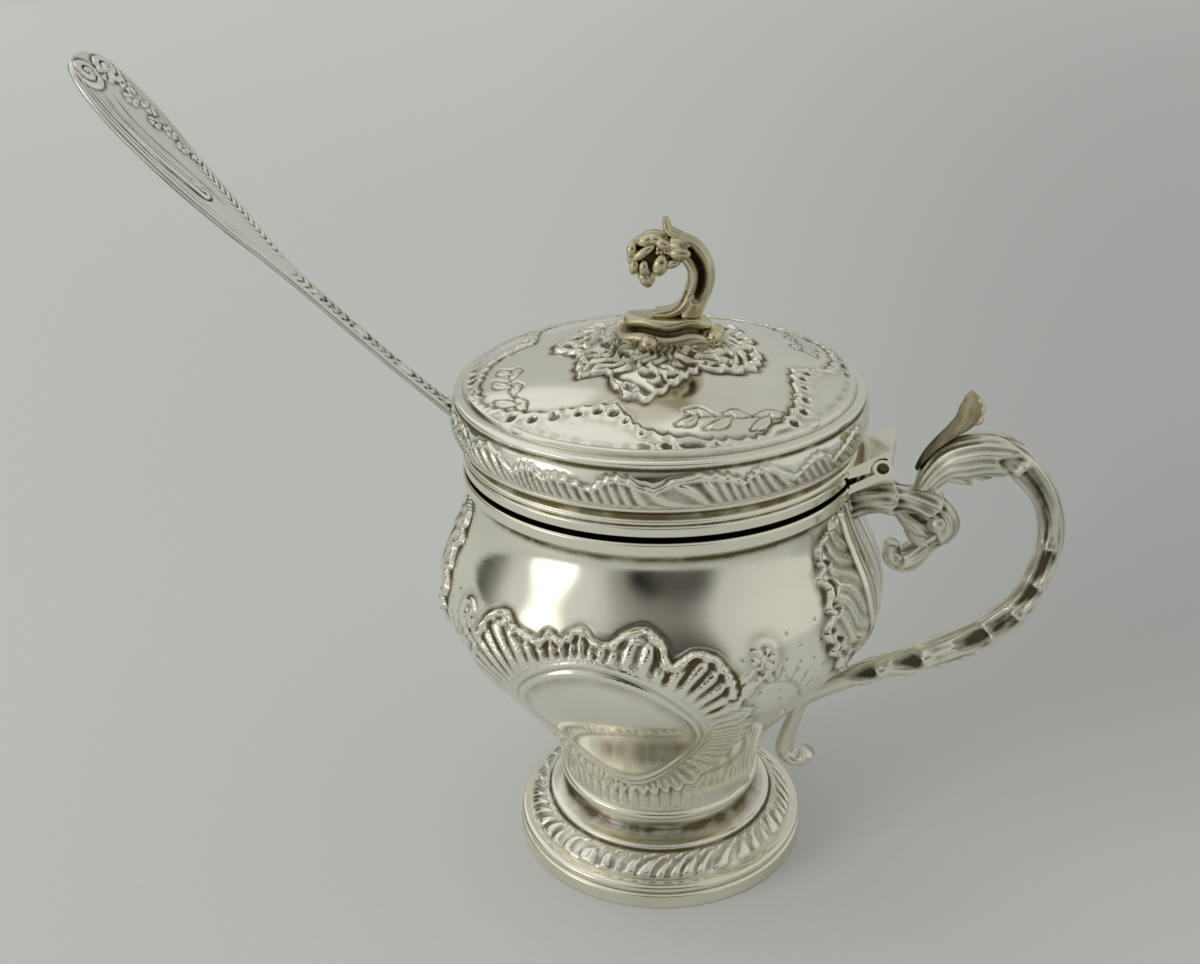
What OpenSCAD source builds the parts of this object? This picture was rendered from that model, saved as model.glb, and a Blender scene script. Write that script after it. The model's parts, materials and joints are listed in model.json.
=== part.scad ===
// Mustard pot: a footed baluster pot with a hinged lid, a cast scroll handle, a glass liner and a spoon.
// Millimetres. The pot's axis is Z and it stands on z = 0. The hinge and the handle lie at +X,
// the spoon leaves through the lid's notch at -X, and the front is at -Y.

/* [Foot] */
// Outer radius of the foot rim
foot_r = 24; // [22:0.5:27]
// Width of the foot rim, from its outside to its inside
foot_rim_w = 3; // [2.6:0.1:4]
// Height of the plain band round the foot rim
foot_band_h = 2.6; // [1.5:0.1:4]
// Thickness of the bead above the plain band
foot_bead_t = 1.6; // [1:0.1:2.2]
// Rise of the chased slope, from the bead to the step
foot_slope_h = 2.9; // [2:0.1:5]
// Radius of the step above the chased slope
foot_step_r = 18.6; // [17.6:0.2:20]
// Height of the step's upright edge
foot_step_h = 0.7; // [0.4:0.1:1.2]
// Radius of the drawn-in neck of the foot
foot_neck_r = 15.6; // [14.5:0.1:16]
// Height of the drawn-in neck above the step
foot_neck_h = 3.4; // [2.6:0.1:6]

/* [Body] */
// Radius of the moulded ring between foot and body
neck_ring_r = 16.7; // [16:0.1:18]
// Height of the moulded ring between foot and body
neck_ring_h = 1.8; // [1.2:0.1:3]
// Radius of the body where it stands on the ring
base_r = 16.2; // [15.6:0.1:17]
// Widest radius of the body
belly_r = 34.4; // [31:0.5:37]
// Height of the widest place above the body's base
belly_rise = 34.6; // [31:0.5:38]
// Inward step of the waist from the collar's outside
waist_in = 1.7; // [1.2:0.1:2.2]
// Height of the body shell
body_h = 53.3; // [50:0.5:58]
// Height of the flare from the waist to the mouth
mouth_flare_h = 1.3; // [0.8:0.1:2]
// Thickness of the silver sheet of foot, body and lid
sheet = 0.9; // [0.7:0.1:1.1]
// Stand-out of the collar beyond the lid's edge
collar_over = 0.2; // [0:0.1:0.8]
// Radial width of the collar
collar_w = 1.2; // [1.1:0.1:1.5]
// Height of the collar
collar_h = 1.9; // [1.4:0.1:3]

/* [Chasing] */
// Height of the main chased forms of the body
body_relief = 0.35; // [0.2:0.05:0.5]
// Height of the leafy rosette on the dome
rosette_relief = 0.7; // [0.3:0.05:0.9]
// Height of the shell border on the dome
dome_border_relief = 0.3; // [0.2:0.05:0.5]

/* [Liner] */
// Wall of the glass liner
liner_wall = 1.5; // [1:0.1:2.5]
// Floor of the glass liner
liner_floor = 2.5; // [1.5:0.1:4]
// Space between liner and shell at the floor and at the waist
liner_clear = 0.9; // [0.7:0.1:1.5]
// Depth of the liner's edge below the top of the shell
liner_drop = 1.6; // [1:0.1:4]

/* [Lid] */
// Gap between the collar and the closed lid
lid_gap = 0.8; // [0.4:0.1:1.2]
// Radius of the lid's plain lower edge, which sets the mouth, the collar and the hinge
lid_r = 30; // [28:0.1:32]
// Height of the stepped bezel
bezel_h = 4.6; // [4.2:0.1:6]
// Depth of the locating flange below the lid's edge
flange_depth = 1.6; // [1:0.1:2.4]
// Space between the locating flange and the collar
flange_clear = 0.5; // [0.4:0.1:0.8]
// Height of the fluted band
band_h = 7; // [6:0.1:9]
// Swell of the fluted band beyond the lid's edge
band_swell = 1.4; // [0.8:0.1:2]
// Inward step of the dome's edge from the lid's edge
dome_in = 0.5; // [0.2:0.1:1]
// Rise of the dome above the band
dome_h = 6; // [4:0.2:8]
// Width of the spoon notch
notch_w = 5.2; // [4.6:0.1:7]
// Height of the spoon notch above the lid's edge
notch_h = 9.6; // [7:0.1:10]

/* [Hinge] */
// Distance of the hinge pin beyond the collar
hinge_out = 3.9; // [3.7:0.1:4.6]
// Height of the hinge pin above the lid's edge
hinge_up = 1.9; // [1.6:0.1:2.2]
// Radius of the hinge barrel
barrel_r = 1.4; // [1.3:0.05:1.5]
// Radius of the hinge pin
pin_r = 0.85; // [0.6:0.05:0.95]
// Running fit of the pin, on the radius
pin_fit = 0.05; // [0.03:0.01:0.1]
// Length of the hinge barrel
barrel_l = 9; // [8:0.5:12]
// Length of the middle knuckle
knuckle_l = 3.4; // [2.6:0.1:4.5]
// Gap between neighbouring knuckles
knuckle_gap = 0.15; // [0.1:0.05:0.3]
// Thickness of the hinge leaves
leaf_t = 1.3; // [1:0.1:1.6]
// Length of the hinge leaves where they meet the pot
leaf_l = 12.4; // [11:0.2:16]

/* [Handle] */
// Reach of the handle's centre line beyond the collar
handle_reach = 28.5; // [26:0.5:34]
// Rise of the handle's centre line above the top of the shell
handle_rise = 6.7; // [6.4:0.1:8]
// Height above the body's base where the handle's tail touches the body
tail_rise = 15.8; // [14:0.2:18]
// Half-width of the handle castings
handle_half_w = 2.5; // [1.8:0.1:3]
// Height of the thumb leaf
thumb_h = 7; // [5:0.2:9]
// Solder gap between neighbouring castings
seat_gap = 0.15; // [0.1:0.05:0.25]

/* [Finial] */
// Radius of the finial's leafy base
finial_base_r = 7.8; // [6:0.2:9]
// Width of that base across the pot, as a share of its length
finial_base_share = 0.48; // [0.4:0.02:0.7]
// Height of the finial's leafy base
finial_base_h = 4.2; // [3:0.2:6]
// Height of the curled stem above the base
finial_stem_h = 11.6; // [9:0.2:14]
// Radius of the flower at the stem's end
flower_r = 3.1; // [2.4:0.1:3.4]
// Radius of the screw that holds the finial
screw_r = 1.2; // [0.8:0.1:1.5]

/* [Spoon] */
// Slope of the spoon above the horizontal
spoon_slope = 43; // [42:0.5:46]
// Length of the spoon outside the collar
spoon_out = 84; // [70:1:90]
// Length of the spoon inside the collar, as a share of the lid's radius
spoon_in_share = 1.9; // [1.7:0.02:1.94]
// Width of the terminal
terminal_w = 13.4; // [9:0.2:16]
// Width of the stem
stem_w = 3.2; // [2.6:0.1:4]
// Thickness of the stem
stem_t = 1.1; // [0.9:0.1:1.4]
// Width of the bowl
bowl_w = 14.6; // [11:0.2:17]
// Length of the bowl
bowl_l = 25; // [20:1:30]
// Depth of the bowl
bowl_depth = 3.4; // [2:0.2:4.4]
// Space between the stem and the collar
spoon_clear = 0.25; // [0.2:0.05:0.5]

/* [Hidden] */
$fn = 96;
SILVER = [0.86, 0.85, 0.81];
CAST_SILVER = [0.78, 0.77, 0.71];
GLASS = [0.75, 0.88, 0.9, 0.5];
EPS = 0.01;

// Heights of the seats, each on top of the piece below it
foot_seat_z = foot_band_h + foot_bead_t;
foot_step_z = foot_seat_z + foot_slope_h;
foot_top_z = foot_step_z + foot_step_h + foot_neck_h;
base_z = foot_top_z + neck_ring_h;
belly_z = base_z + belly_rise;
mouth_z = base_z + body_h;
waist_z = mouth_z - mouth_flare_h;
collar_z = mouth_z + collar_h;
lid_z = collar_z + lid_gap;
band_z = lid_z + bezel_h;
dome_z = band_z + band_h;

// The mouth, all from the lid's edge
collar_r = lid_r + collar_over;
collar_in_r = collar_r - collar_w;
waist_r = collar_r - waist_in;
dome_r = lid_r - dome_in;
hinge_x = collar_r + hinge_out;
hinge_z = lid_z + hinge_up;
spoon_in = spoon_in_share * lid_r;

// Curves and outlines

// Point of a cubic curve with the four poles p
function bezier(p, t) =
    let (u = 1 - t)
    u * u * u * p[0] + 3 * u * u * t * p[1] + 3 * u * t * t * p[2] + t * t * t * p[3];

// A cubic curve as steps + 1 points
function curve(p, steps) = [for (i = [0 : steps]) bezier(p, i / steps)];

// Parameter at which a rising curve reaches the height z
function rise_t(p, z, low = 0, high = 1, rounds = 30) =
    let (middle = (low + high) / 2)
    rounds == 0 ? middle
    : bezier(p, middle)[1] < z ? rise_t(p, z, middle, high, rounds - 1)
    : rise_t(p, z, low, middle, rounds - 1);

// Arc as points, from angle from to angle to
function arc(centre, r, from, to, steps) =
    [for (i = [0 : steps]) let (a = from + (to - from) * i / steps) centre + r * [cos(a), sin(a)]];

function reversed(list) = [for (i = [len(list) - 1 : -1 : 0]) list[i]];

// Left-hand unit normal of an open outline at its point i
function left_normal(p, i) =
    let (d = p[min(i + 1, len(p) - 1)] - p[max(i - 1, 0)])
    [-d[1], d[0]] / norm(d);

// Smooth path through hand-chosen points of any width, with steps rings to each stretch
function blend(a, b, c, d, t) =
    0.5 * (2 * b + (c - a) * t + (2 * a - 5 * b + 4 * c - d) * t * t + (3 * b - a - 3 * c + d) * t * t * t);
function smooth(p, steps) =
    let (last = len(p) - 1)
    concat(
        [for (i = [0 : last - 1], k = [0 : steps - 1])
            blend(p[max(i - 1, 0)], p[i], p[i + 1], p[min(i + 2, last)], k / steps)],
        [p[last]]
    );

// Spiral stretch of a path: centre, radius, angle, half-thickness and half-width run from a to b
function volute(centre, r, angle, half_t, half_w, steps) =
    [for (i = [0 : steps])
        let (
            f = i / steps,
            a = angle[0] + (angle[1] - angle[0]) * f,
            d = r[0] + (r[1] - r[0]) * f
        )
        [
            centre[0] + d * cos(a), centre[1] + d * sin(a),
            half_t[0] + (half_t[1] - half_t[0]) * f, half_w[0] + (half_w[1] - half_w[0]) * f
        ]];

// Closed solid over a list of rings with equal counts of points
module skin(rings) {
    sides = len(rings[0]);
    last = len(rings) - 1;
    points = concat([for (ring = rings) each ring], [mean(rings[0]), mean(rings[last])]);
    start = (last + 1) * sides;
    walls = [for (i = [0 : last - 1], j = [0 : sides - 1])
        let (k = (j + 1) % sides, a = i * sides + j, b = i * sides + k)
        each [[a, a + sides, b], [b, a + sides, b + sides]]];
    caps = [for (j = [0 : sides - 1])
        let (k = (j + 1) % sides)
        each [[start, j, k], [start + 1, last * sides + k, last * sides + j]]];
    polyhedron(points, concat(walls, caps), convexity = 8);
}
function mean(ring) = [for (i = [0 : 2]) sum([for (p = ring) p[i]]) / len(ring)];
function sum(list, i = 0) = i == len(list) ? 0 : list[i] + sum(list, i + 1);

// Cast bar in the plane y = 0 along a path of [x, z, half-thickness, half-width];
// its first ring lies along seat, the direction of the face that it stands on
module casting(path, sides, seat = undef) {
    flat = [for (p = path) [p[0], p[1]]];
    rings = [for (i = [0 : len(path) - 1])
        let (n = i == 0 && seat != undef ? seat : left_normal(flat, i), p = path[i])
        [for (j = [0 : sides - 1])
            let (a = -360 * j / sides, t = p[2] * cos(a), w = p[3] * sin(a))
            [p[0] + t * n[0], w, p[1] + t * n[1]]]];
    skin(rings);
}

module spun(outline) {
    rotate_extrude() polygon(outline);
}

// Outline of the body

base_pole = 13.5;
belly_low_pole = 10.2;
belly_high_pole = 6.4;
waist_pole = 6.5;
waist_lean = 1;
low_curve = [
    [base_r, base_z], [base_r, base_z + base_pole],
    [belly_r, belly_z - belly_low_pole], [belly_r, belly_z]
];
high_curve = [
    [belly_r, belly_z], [belly_r, belly_z + belly_high_pole],
    [waist_r + waist_lean, waist_z - waist_pole], [waist_r, waist_z]
];
mouth_r = collar_r - sheet + 0.1;
body_outline = concat(
    curve(low_curve, 22),
    [for (i = [1 : 14]) bezier(high_curve, i / 14)],
    [[mouth_r, mouth_z]]
);

// Radius of the body's outside at the height z
function body_r(z) =
    let (p = z < belly_z ? low_curve : high_curve)
    bezier(p, rise_t(p, z))[0];

// Place at a distance outside the body, square to its wall, in the plane y = 0
function off_body(z, distance) =
    let (
        step = 0.2,
        d = [body_r(z + step) - body_r(z - step), 2 * step]
    )
    [body_r(z), z] + distance * [d[1], -d[0]] / norm(d);

// Foot

module foot_rim() {
    bead_r = foot_bead_t / 2;
    inside = foot_r - foot_rim_w;
    bead_c = [foot_r - 1.2 * bead_r, foot_band_h + bead_r];
    color(SILVER) spun(concat(
        [[inside, 0], [foot_r, 0], [foot_r, foot_band_h - 0.3], [foot_r - 0.3, foot_band_h]],
        arc(bead_c, bead_r, -80, 90, 8),
        [[inside, foot_seat_z]]
    ));
}

foot_slope_r = foot_r - foot_rim_w + 1.2;
foot_outline = concat(
    [[foot_slope_r, foot_seat_z]],
    curve([
        [foot_slope_r, foot_seat_z + 0.3], [foot_slope_r - 0.6, foot_step_z - 1.2],
        [foot_step_r + 1.6, foot_step_z - 0.3], [foot_step_r + 0.2, foot_step_z]
    ], 8),
    [[foot_step_r, foot_step_z + 0.1], [foot_step_r, foot_step_z + foot_step_h]],
    curve([
        [foot_step_r - 0.3, foot_step_z + foot_step_h + 0.1],
        [foot_neck_r + 0.6, foot_step_z + foot_step_h + 0.3],
        [foot_neck_r, foot_top_z - 2.4], [foot_neck_r, foot_top_z - 1.4]
    ], 8),
    [[foot_neck_r + 0.2, foot_top_z]]
);

foot_inside = concat(
    [[foot_neck_r + 0.2 - sheet, foot_top_z]],
    curve([
        [foot_neck_r - sheet, foot_top_z - 1.4], [foot_neck_r - sheet, foot_top_z - 2.8],
        [foot_neck_r + 0.2 - sheet, foot_step_z + foot_step_h + 0.2 - sheet],
        [foot_step_r - 0.6 - sheet, foot_step_z + foot_step_h - sheet]
    ], 6),
    curve([
        [foot_step_r - sheet, foot_step_z - sheet], [foot_step_r + 0.8, foot_step_z - 0.3 - sheet],
        [foot_slope_r - 0.6 - sheet, foot_seat_z + 1], [foot_slope_r - sheet, foot_seat_z]
    ], 6)
);

module foot_dome() {
    color(SILVER) spun(concat(foot_outline, foot_inside));
}

module neck_ring() {
    inside = foot_neck_r - 2;
    swell = neck_ring_h / 2;
    color(SILVER) spun(concat(
        [[inside, foot_top_z]],
        arc([neck_ring_r - swell, foot_top_z + swell], swell, -90, 90, 10),
        [[inside, base_z]]
    ));
}

// Body

// Shell border round the bare oval, front and back: turn round the oval and reach as a share of the oval's
oval_turn = -93.5;
oval_half_turn = 26.5;
oval_z = base_z + 0.62 * belly_rise;
oval_half_h = 0.42 * belly_rise;
border_edge = [
    [-90, 1.14], [-60, 1.3], [-40, 1.62], [-23, 1.8], [3, 1.56], [20, 1.5], [37, 1.5], [60, 1.38], [90, 1.34],
    [120, 1.46], [144, 1.65], [160, 1.62], [178, 1.55], [203, 1.75], [220, 1.6], [240, 1.3]
];
function round_oval(edge) =
    [for (e = edge)
        let (z = oval_z + oval_half_h * e[1] * sin(e[0]), a = oval_turn + oval_half_turn * e[1] * cos(e[0]))
        [body_r(z) * cos(a), z]];

// Leaf under the handle and under the spoon: height as a share of the body's, half-width as an angle
leaf_edge = [
    [0.45, 9], [0.51, 19.5], [0.58, 27.5], [0.655, 31.5], [0.71, 33], [0.775, 30], [0.845, 30.5],
    [0.915, 27.5], [0.955, 16]
];
leaf_middle = handle_half_w + 0.9;

module chased_forms() {
    reach = 4 * belly_r;
    difference() {
        along_y(round_oval(border_edge), reach);
        along_y(round_oval([for (a = [0 : 24 : 336]) [a, 1.12]]), reach + 1);
    }
    first = leaf_edge[0];
    last = leaf_edge[len(leaf_edge) - 1];
    for (side = [-1, 1])
        rotate([90, 0, 90]) linear_extrude(height = reach, center = true) polygon(concat(
            [[side * leaf_middle, base_z + first[0] * body_h]],
            [for (e = leaf_edge) let (z = base_z + e[0] * body_h) [side * body_r(z) * sin(e[1]), z]],
            [[side * leaf_middle, base_z + last[0] * body_h]]
        ));
}

raised_rows = [for (i = [2 : 2 : len(body_outline) - 3]) i];
raised_outline = concat(
    [for (i = raised_rows) body_outline[i] - body_relief * left_normal(body_outline, i)],
    [for (i = reversed(raised_rows)) body_outline[i] + 0.5 * sheet * left_normal(body_outline, i)]
);

module body_shell() {
    outer = body_outline;
    last = len(outer) - 1;
    inner = [for (i = [last - 1 : -1 : 1]) if (outer[i][1] > base_z + 1.5)
        outer[i] + sheet * left_normal(outer, i)];
    floor_z = base_z + sheet;
    color(SILVER) union() {
        spun(concat(
            [[0, base_z]], outer, [[mouth_r - sheet, mouth_z]], inner,
            [[base_r - sheet, floor_z], [0, floor_z]]
        ));
        intersection() {
            spun(raised_outline);
            chased_forms();
        }
    }
}

module body_collar() {
    edge = 0.25;
    color(SILVER) spun([
        [collar_in_r, mouth_z], [collar_r, mouth_z],
        [collar_r, collar_z - edge], [collar_r - edge, collar_z], [collar_in_r, collar_z]
    ]);
}

// Glass liner: a tapered beaker that lifts out through the mouth
liner_base_r = base_r - sheet - liner_clear;
liner_top_r = waist_r - sheet - liner_clear;
liner_top_z = mouth_z - liner_drop;
liner_base_z = base_z + sheet;

module glass_liner() {
    lip = liner_wall / 2;
    color(GLASS) spun(concat(
        [[0, liner_base_z], [liner_base_r - 0.6, liner_base_z], [liner_base_r, liner_base_z + 0.6]],
        arc([liner_top_r - lip, liner_top_z - lip], lip, 0, 180, 8),
        [
            [liner_base_r - liner_wall, liner_base_z + liner_floor + 1],
            [liner_base_r - liner_wall - 1, liner_base_z + liner_floor],
            [0, liner_base_z + liner_floor]
        ]
    ));
}

// Lid

flange_r = collar_in_r - flange_clear;
flange_t = 0.8;
bezel_top_r = lid_r + 0.5;
bezel_outline = concat(
    [[lid_r, lid_z], [lid_r, lid_z + 1.5], [lid_r - 0.4, lid_z + 1.8]],
    arc([lid_r - 0.3, lid_z + 2.3], 0.4, -60, 60, 4),
    [[lid_r - 0.4, lid_z + 2.8]],
    curve([
        [lid_r - 0.4, lid_z + 3], [lid_r - 0.4, bezel_h + lid_z - 0.9],
        [bezel_top_r - 0.3, bezel_h + lid_z - 0.8], [bezel_top_r, bezel_h + lid_z - 0.4]
    ], 5),
    [[bezel_top_r, band_z]]
);
bulge_r = lid_r + band_swell;
band_outline = concat(
    [[bezel_top_r, band_z]],
    curve([
        [bezel_top_r, band_z + 0.1], [bulge_r + 0.3, band_z + 1.6],
        [bulge_r + 0.3, band_z + 4.2], [bezel_top_r + 0.1, dome_z - 1.2]
    ], 10),
    arc([bezel_top_r - 0.1, dome_z - 0.6], 0.5, -50, 60, 5),
    [[dome_r + 0.4, dome_z]]
);
band_inside = curve([
    [dome_r - 0.6, dome_z], [bulge_r + 0.3 - sheet, band_z + 4.2],
    [bulge_r + 0.3 - sheet, band_z + 1.6], [bezel_top_r - sheet, band_z]
], 10);
dome_curve = [
    [dome_r, dome_z + 0.3], [dome_r - 7.5, dome_z + 0.6 * dome_h],
    [dome_r - 17.5, dome_z + dome_h], [0, dome_z + dome_h]
];
screw_fit = 0.1;
screw_hole_r = screw_r + screw_fit;

// Height of the dome's outside at a radius
function dome_top(r, low = 0, high = 1, rounds = 30) =
    let (middle = (low + high) / 2, p = bezier(dome_curve, middle))
    rounds == 0 ? p[1]
    : p[0] > r ? dome_top(r, middle, high, rounds - 1)
    : dome_top(r, low, middle, rounds - 1);

// Cut for the spoon through one side of the lid, open below and round above
module spoon_notch() {
    round_r = notch_w / 2;
    depth = 10;
    translate([-lid_r - depth / 2, -round_r, lid_z - flange_depth - EPS])
        cube([depth, notch_w, flange_depth + notch_h - round_r + EPS]);
    translate([-lid_r - depth / 2, 0, lid_z + notch_h - round_r])
        rotate([0, 90, 0]) cylinder(r = round_r, h = depth);
}

module lid_bezel() {
    flange_in = flange_r - flange_t;
    color(SILVER) difference() {
        spun(concat(
            [[flange_in, lid_z - flange_depth], [flange_r, lid_z - flange_depth], [flange_r, lid_z]],
            bezel_outline,
            [
                [bezel_top_r - sheet, band_z], [lid_r - 0.5 - sheet, band_z - 1.4],
                [lid_r - 0.5 - sheet, lid_z + sheet], [flange_in, lid_z + sheet]
            ]
        ));
        spoon_notch();
    }
}

module lid_band() {
    color(SILVER) difference() {
        spun(concat(band_outline, band_inside));
        spoon_notch();
    }
}

// Chased forms of the dome in plan, as angle and share of the dome's radius:
// a leafy rosette round the finial, and a shell border that comes in from the edge four times
rosette_edge = [
    [0, 0.51], [12, 0.43], [24, 0.49], [36, 0.42], [48, 0.51], [60, 0.42], [74, 0.49], [90, 0.57], [105, 0.44],
    [120, 0.52], [135, 0.42], [150, 0.49], [165, 0.45], [180, 0.51], [195, 0.52], [210, 0.42], [228, 0.49],
    [238, 0.54], [247, 0.43], [266, 0.61], [277, 0.63], [288, 0.52], [300, 0.43], [312, 0.4], [325, 0.49], [340, 0.54]
];
wave_edge = [[-45, 0.96], [-25, 0.86], [-6, 0.71], [0, 0.69], [5, 0.75], [16, 0.87], [32, 0.93]];
wave_turn = 265;
function in_plan(edge) = [for (e = edge) dome_r * e[1] * [cos(e[0]), sin(e[0])]];

dome_steps = 16;
dome_outline = concat([[dome_r, dome_z]], [for (i = [0 : dome_steps - 1]) bezier(dome_curve, i / dome_steps)]);

// Skin of the dome between the middle of its sheet and a height above it, over the given plan
module raised_on_dome(h) {
    last = len(dome_outline) - 1;
    intersection() {
        spun(concat(
            [for (i = [2 : last - 1]) dome_outline[i] - h * left_normal(dome_outline, i)],
            [for (i = [last - 1 : -1 : 2]) dome_outline[i] + 0.5 * sheet * left_normal(dome_outline, i)]
        ));
        translate([0, 0, dome_z]) linear_extrude(height = 2 * dome_h) children();
    }
}

module lid_dome() {
    outer = dome_outline;
    last = len(outer) - 1;
    top = dome_z + dome_h;
    color(SILVER) union() {
        spun(concat(
            outer,
            [[screw_hole_r, top], [screw_hole_r, top - sheet]],
            [for (i = [last : -1 : 2]) outer[i] + sheet * left_normal(outer, i)],
            [[dome_r - sheet - 0.6, dome_z]]
        ));
        raised_on_dome(rosette_relief) difference() {
            polygon(in_plan(rosette_edge));
            scale([1, finial_base_share]) circle(r = 1.1 * finial_base_r + finial_shift + 0.3);
        }
        raised_on_dome(dome_border_relief) difference() {
            circle(r = 0.97 * dome_r);
            polygon(in_plan([for (k = [0 : 3]) each [for (e = wave_edge) [e[0] + wave_turn + 90 * k, e[1]]]]));
        }
    }
}

// Hinge

leaf_in_x = collar_r - 1.2;
leaf_out_l = 8.4;
leaf_swing_gap = 0.3;
leaf_rise = leaf_t / cos(30);

// Both leaves in plan: narrow at the barrel and wider where they meet the pot
module leaf_plan(out_x) {
    linear_extrude(height = 3 * (hinge_z - mouth_z + barrel_r), center = true)
        polygon([
            [leaf_in_x, -leaf_l / 2], [out_x, -leaf_out_l / 2], [out_x, leaf_out_l / 2], [leaf_in_x, leaf_l / 2]
        ]);
}

// Bar along Y with an outline in X and Z
module along_y(outline, length) {
    rotate([90, 0, 0]) linear_extrude(height = length, center = true) polygon(outline);
}

// Cylinder on the hinge axis, from y0 to y1
module on_axis(r, y0, y1) {
    translate([hinge_x, y1, hinge_z]) rotate([90, 0, 0]) cylinder(r = r, h = y1 - y0);
}

module hinge_lower_leaf() {
    half = barrel_l / 2;
    middle = knuckle_l / 2 + knuckle_gap;
    seat_z = mouth_z + 0.5;
    out = [hinge_x + 0.3, hinge_z - barrel_r - 0.4];
    color(SILVER) difference() {
        union() {
            intersection() {
                along_y([
                    [leaf_in_x, seat_z], out, out + [0, leaf_rise], [leaf_in_x, seat_z + leaf_rise - 0.1]
                ], leaf_l);
                translate([0, 0, hinge_z]) leaf_plan(out[0] + EPS);
            }
            on_axis(barrel_r, -half, -middle);
            on_axis(barrel_r, middle, half);
        }
        cylinder(r = collar_r, h = lid_z);
        on_axis(barrel_r + leaf_swing_gap, -middle, middle);
        on_axis(pin_r + pin_fit, -half - 1, half + 1);
    }
}

module hinge_upper_leaf() {
    middle = knuckle_l / 2;
    out_x = hinge_x + 1.2;
    out_z = hinge_z + barrel_r + 1.7;
    seat_z = lid_z + 0.4;
    color(SILVER) difference() {
        union() {
            intersection() {
                along_y([
                    [leaf_in_x, seat_z], [hinge_x, hinge_z], [out_x, out_z - leaf_t + 0.2],
                    [out_x, out_z], [leaf_in_x, seat_z + leaf_rise]
                ], leaf_l);
                translate([0, 0, hinge_z]) leaf_plan(out_x + EPS);
            }
            on_axis(barrel_r, -middle, middle);
        }
        spun(concat([[0, lid_z]], bezel_outline, [[0, band_z]]));
        on_axis(barrel_r + leaf_swing_gap, -leaf_l, -middle);
        on_axis(barrel_r + leaf_swing_gap, middle, leaf_l);
        on_axis(pin_r + pin_fit, -leaf_l, leaf_l);
    }
}

module hinge_pin() {
    recess = 0.8;
    half = barrel_l / 2 - recess;
    color(CAST_SILVER) on_axis(pin_r, -half, half);
}

// Handle castings

// Bracket: a C-scroll with one end on the waist, a thick roll outside and a small hook below
bracket_back_z = mouth_z - 4;
bracket_back = off_body(bracket_back_z, seat_gap);
bracket_seat = off_body(bracket_back_z + 1, seat_gap) - off_body(bracket_back_z - 1, seat_gap);
bracket_top_z = mouth_z + 0.3;
bracket_top_x = bracket_back[0] + 10.1;

module handle_bracket() {
    w = handle_half_w;
    x = bracket_back[0];
    z = bracket_top_z;
    path = [
        [x, bracket_back[1], 2, 0.9 * w], [x + 2.4, z - 3, 2.1, 0.95 * w], [x + 5.2, z - 2.4, 2.3, w],
        [x + 8.7, z - 2.2, 2.2, w], [x + 11.7, z - 2.7, 2, w], [x + 13.7, z - 4, 1.9, 0.95 * w],
        [x + 14.4, z - 5.7, 1.9, 0.95 * w], [x + 13.6, z - 7.4, 1.7, 0.9 * w], [x + 12, z - 9, 1.5, 0.85 * w],
        [x + 10.6, z - 10.7, 1.4, 0.8 * w], [x + 9, z - 12.1, 1.4, 0.75 * w], [x + 7.4, z - 12.2, 1.3, 0.7 * w],
        [x + 6.6, z - 11, 1, 0.65 * w], [x + 6.9, z - 9.7, 0.6, 0.5 * w]
    ];
    color(CAST_SILVER) casting(smooth(path, 3), 12, bracket_seat / norm(bracket_seat));
}

// Main scroll: rises off the bracket, swings out and comes back to the body, with a curled tail
scroll_start = [bracket_top_x + 0.6, bracket_top_z + seat_gap];
scroll_top_z = mouth_z + handle_rise;
scroll_out_x = collar_r + handle_reach;
tail_t = 1.4;
tail = off_body(base_z + tail_rise, tail_t + seat_gap);
scroll_points = concat(
    [
        [scroll_start[0], scroll_start[1], 1.6, 0.75 * handle_half_w],
        [scroll_start[0] + 1.4, scroll_start[1] + 2.3, 2, handle_half_w - 0.2],
        [scroll_start[0] + 3.2, scroll_start[1] + 4.2, 2.6, handle_half_w + 0.3],
        [scroll_out_x - 13.2, scroll_top_z - 1.1, 3, handle_half_w + 0.4],
        [scroll_out_x - 9.6, scroll_top_z - 0.4, 2.7, handle_half_w + 0.2],
        [scroll_out_x - 5.7, scroll_top_z - 1.3, 2.3, handle_half_w],
        [scroll_out_x - 1.4, scroll_top_z - 6.6, 1.9, handle_half_w],
        [scroll_out_x, scroll_top_z - 13.8, 1.85, handle_half_w],
        [scroll_out_x - 2.5, mouth_z - 16.6, 2, handle_half_w],
        [scroll_out_x - 8.4, mouth_z - 23.5, 2.3, handle_half_w]
    ],
    [
        [tail[0] + 17.2, tail[1] + 9.6, 2.1, handle_half_w],
        [tail[0] + 9.2, tail[1] + 5.9, 1.7, handle_half_w - 0.2],
        [tail[0], tail[1], tail_t, handle_half_w - 0.5],
        [tail[0] - 1.9, tail[1] - 4.6, 1.25, handle_half_w - 0.7]
    ],
    volute([tail[0] - 1.1, tail[1] - 10.5], [2.2, 1.7], [165, 350], [1.15, 0.8], [1.6, 1.2], 4)
);

module handle_scroll() {
    color(CAST_SILVER) casting(smooth(scroll_points, 3), 12, [-1, 0]);
}

// Thumb leaf: lies along the scroll's rise, then stands off it with a spread tip
scroll_rings = smooth(scroll_points, 3);
scroll_line = [for (p = scroll_rings) [p[0], p[1]]];
function on_scroll(i, half_t) =
    scroll_line[i] + (scroll_rings[i][2] + seat_gap + half_t) * left_normal(scroll_line, i);
thumb_foot = on_scroll(6, 0.55);

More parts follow.
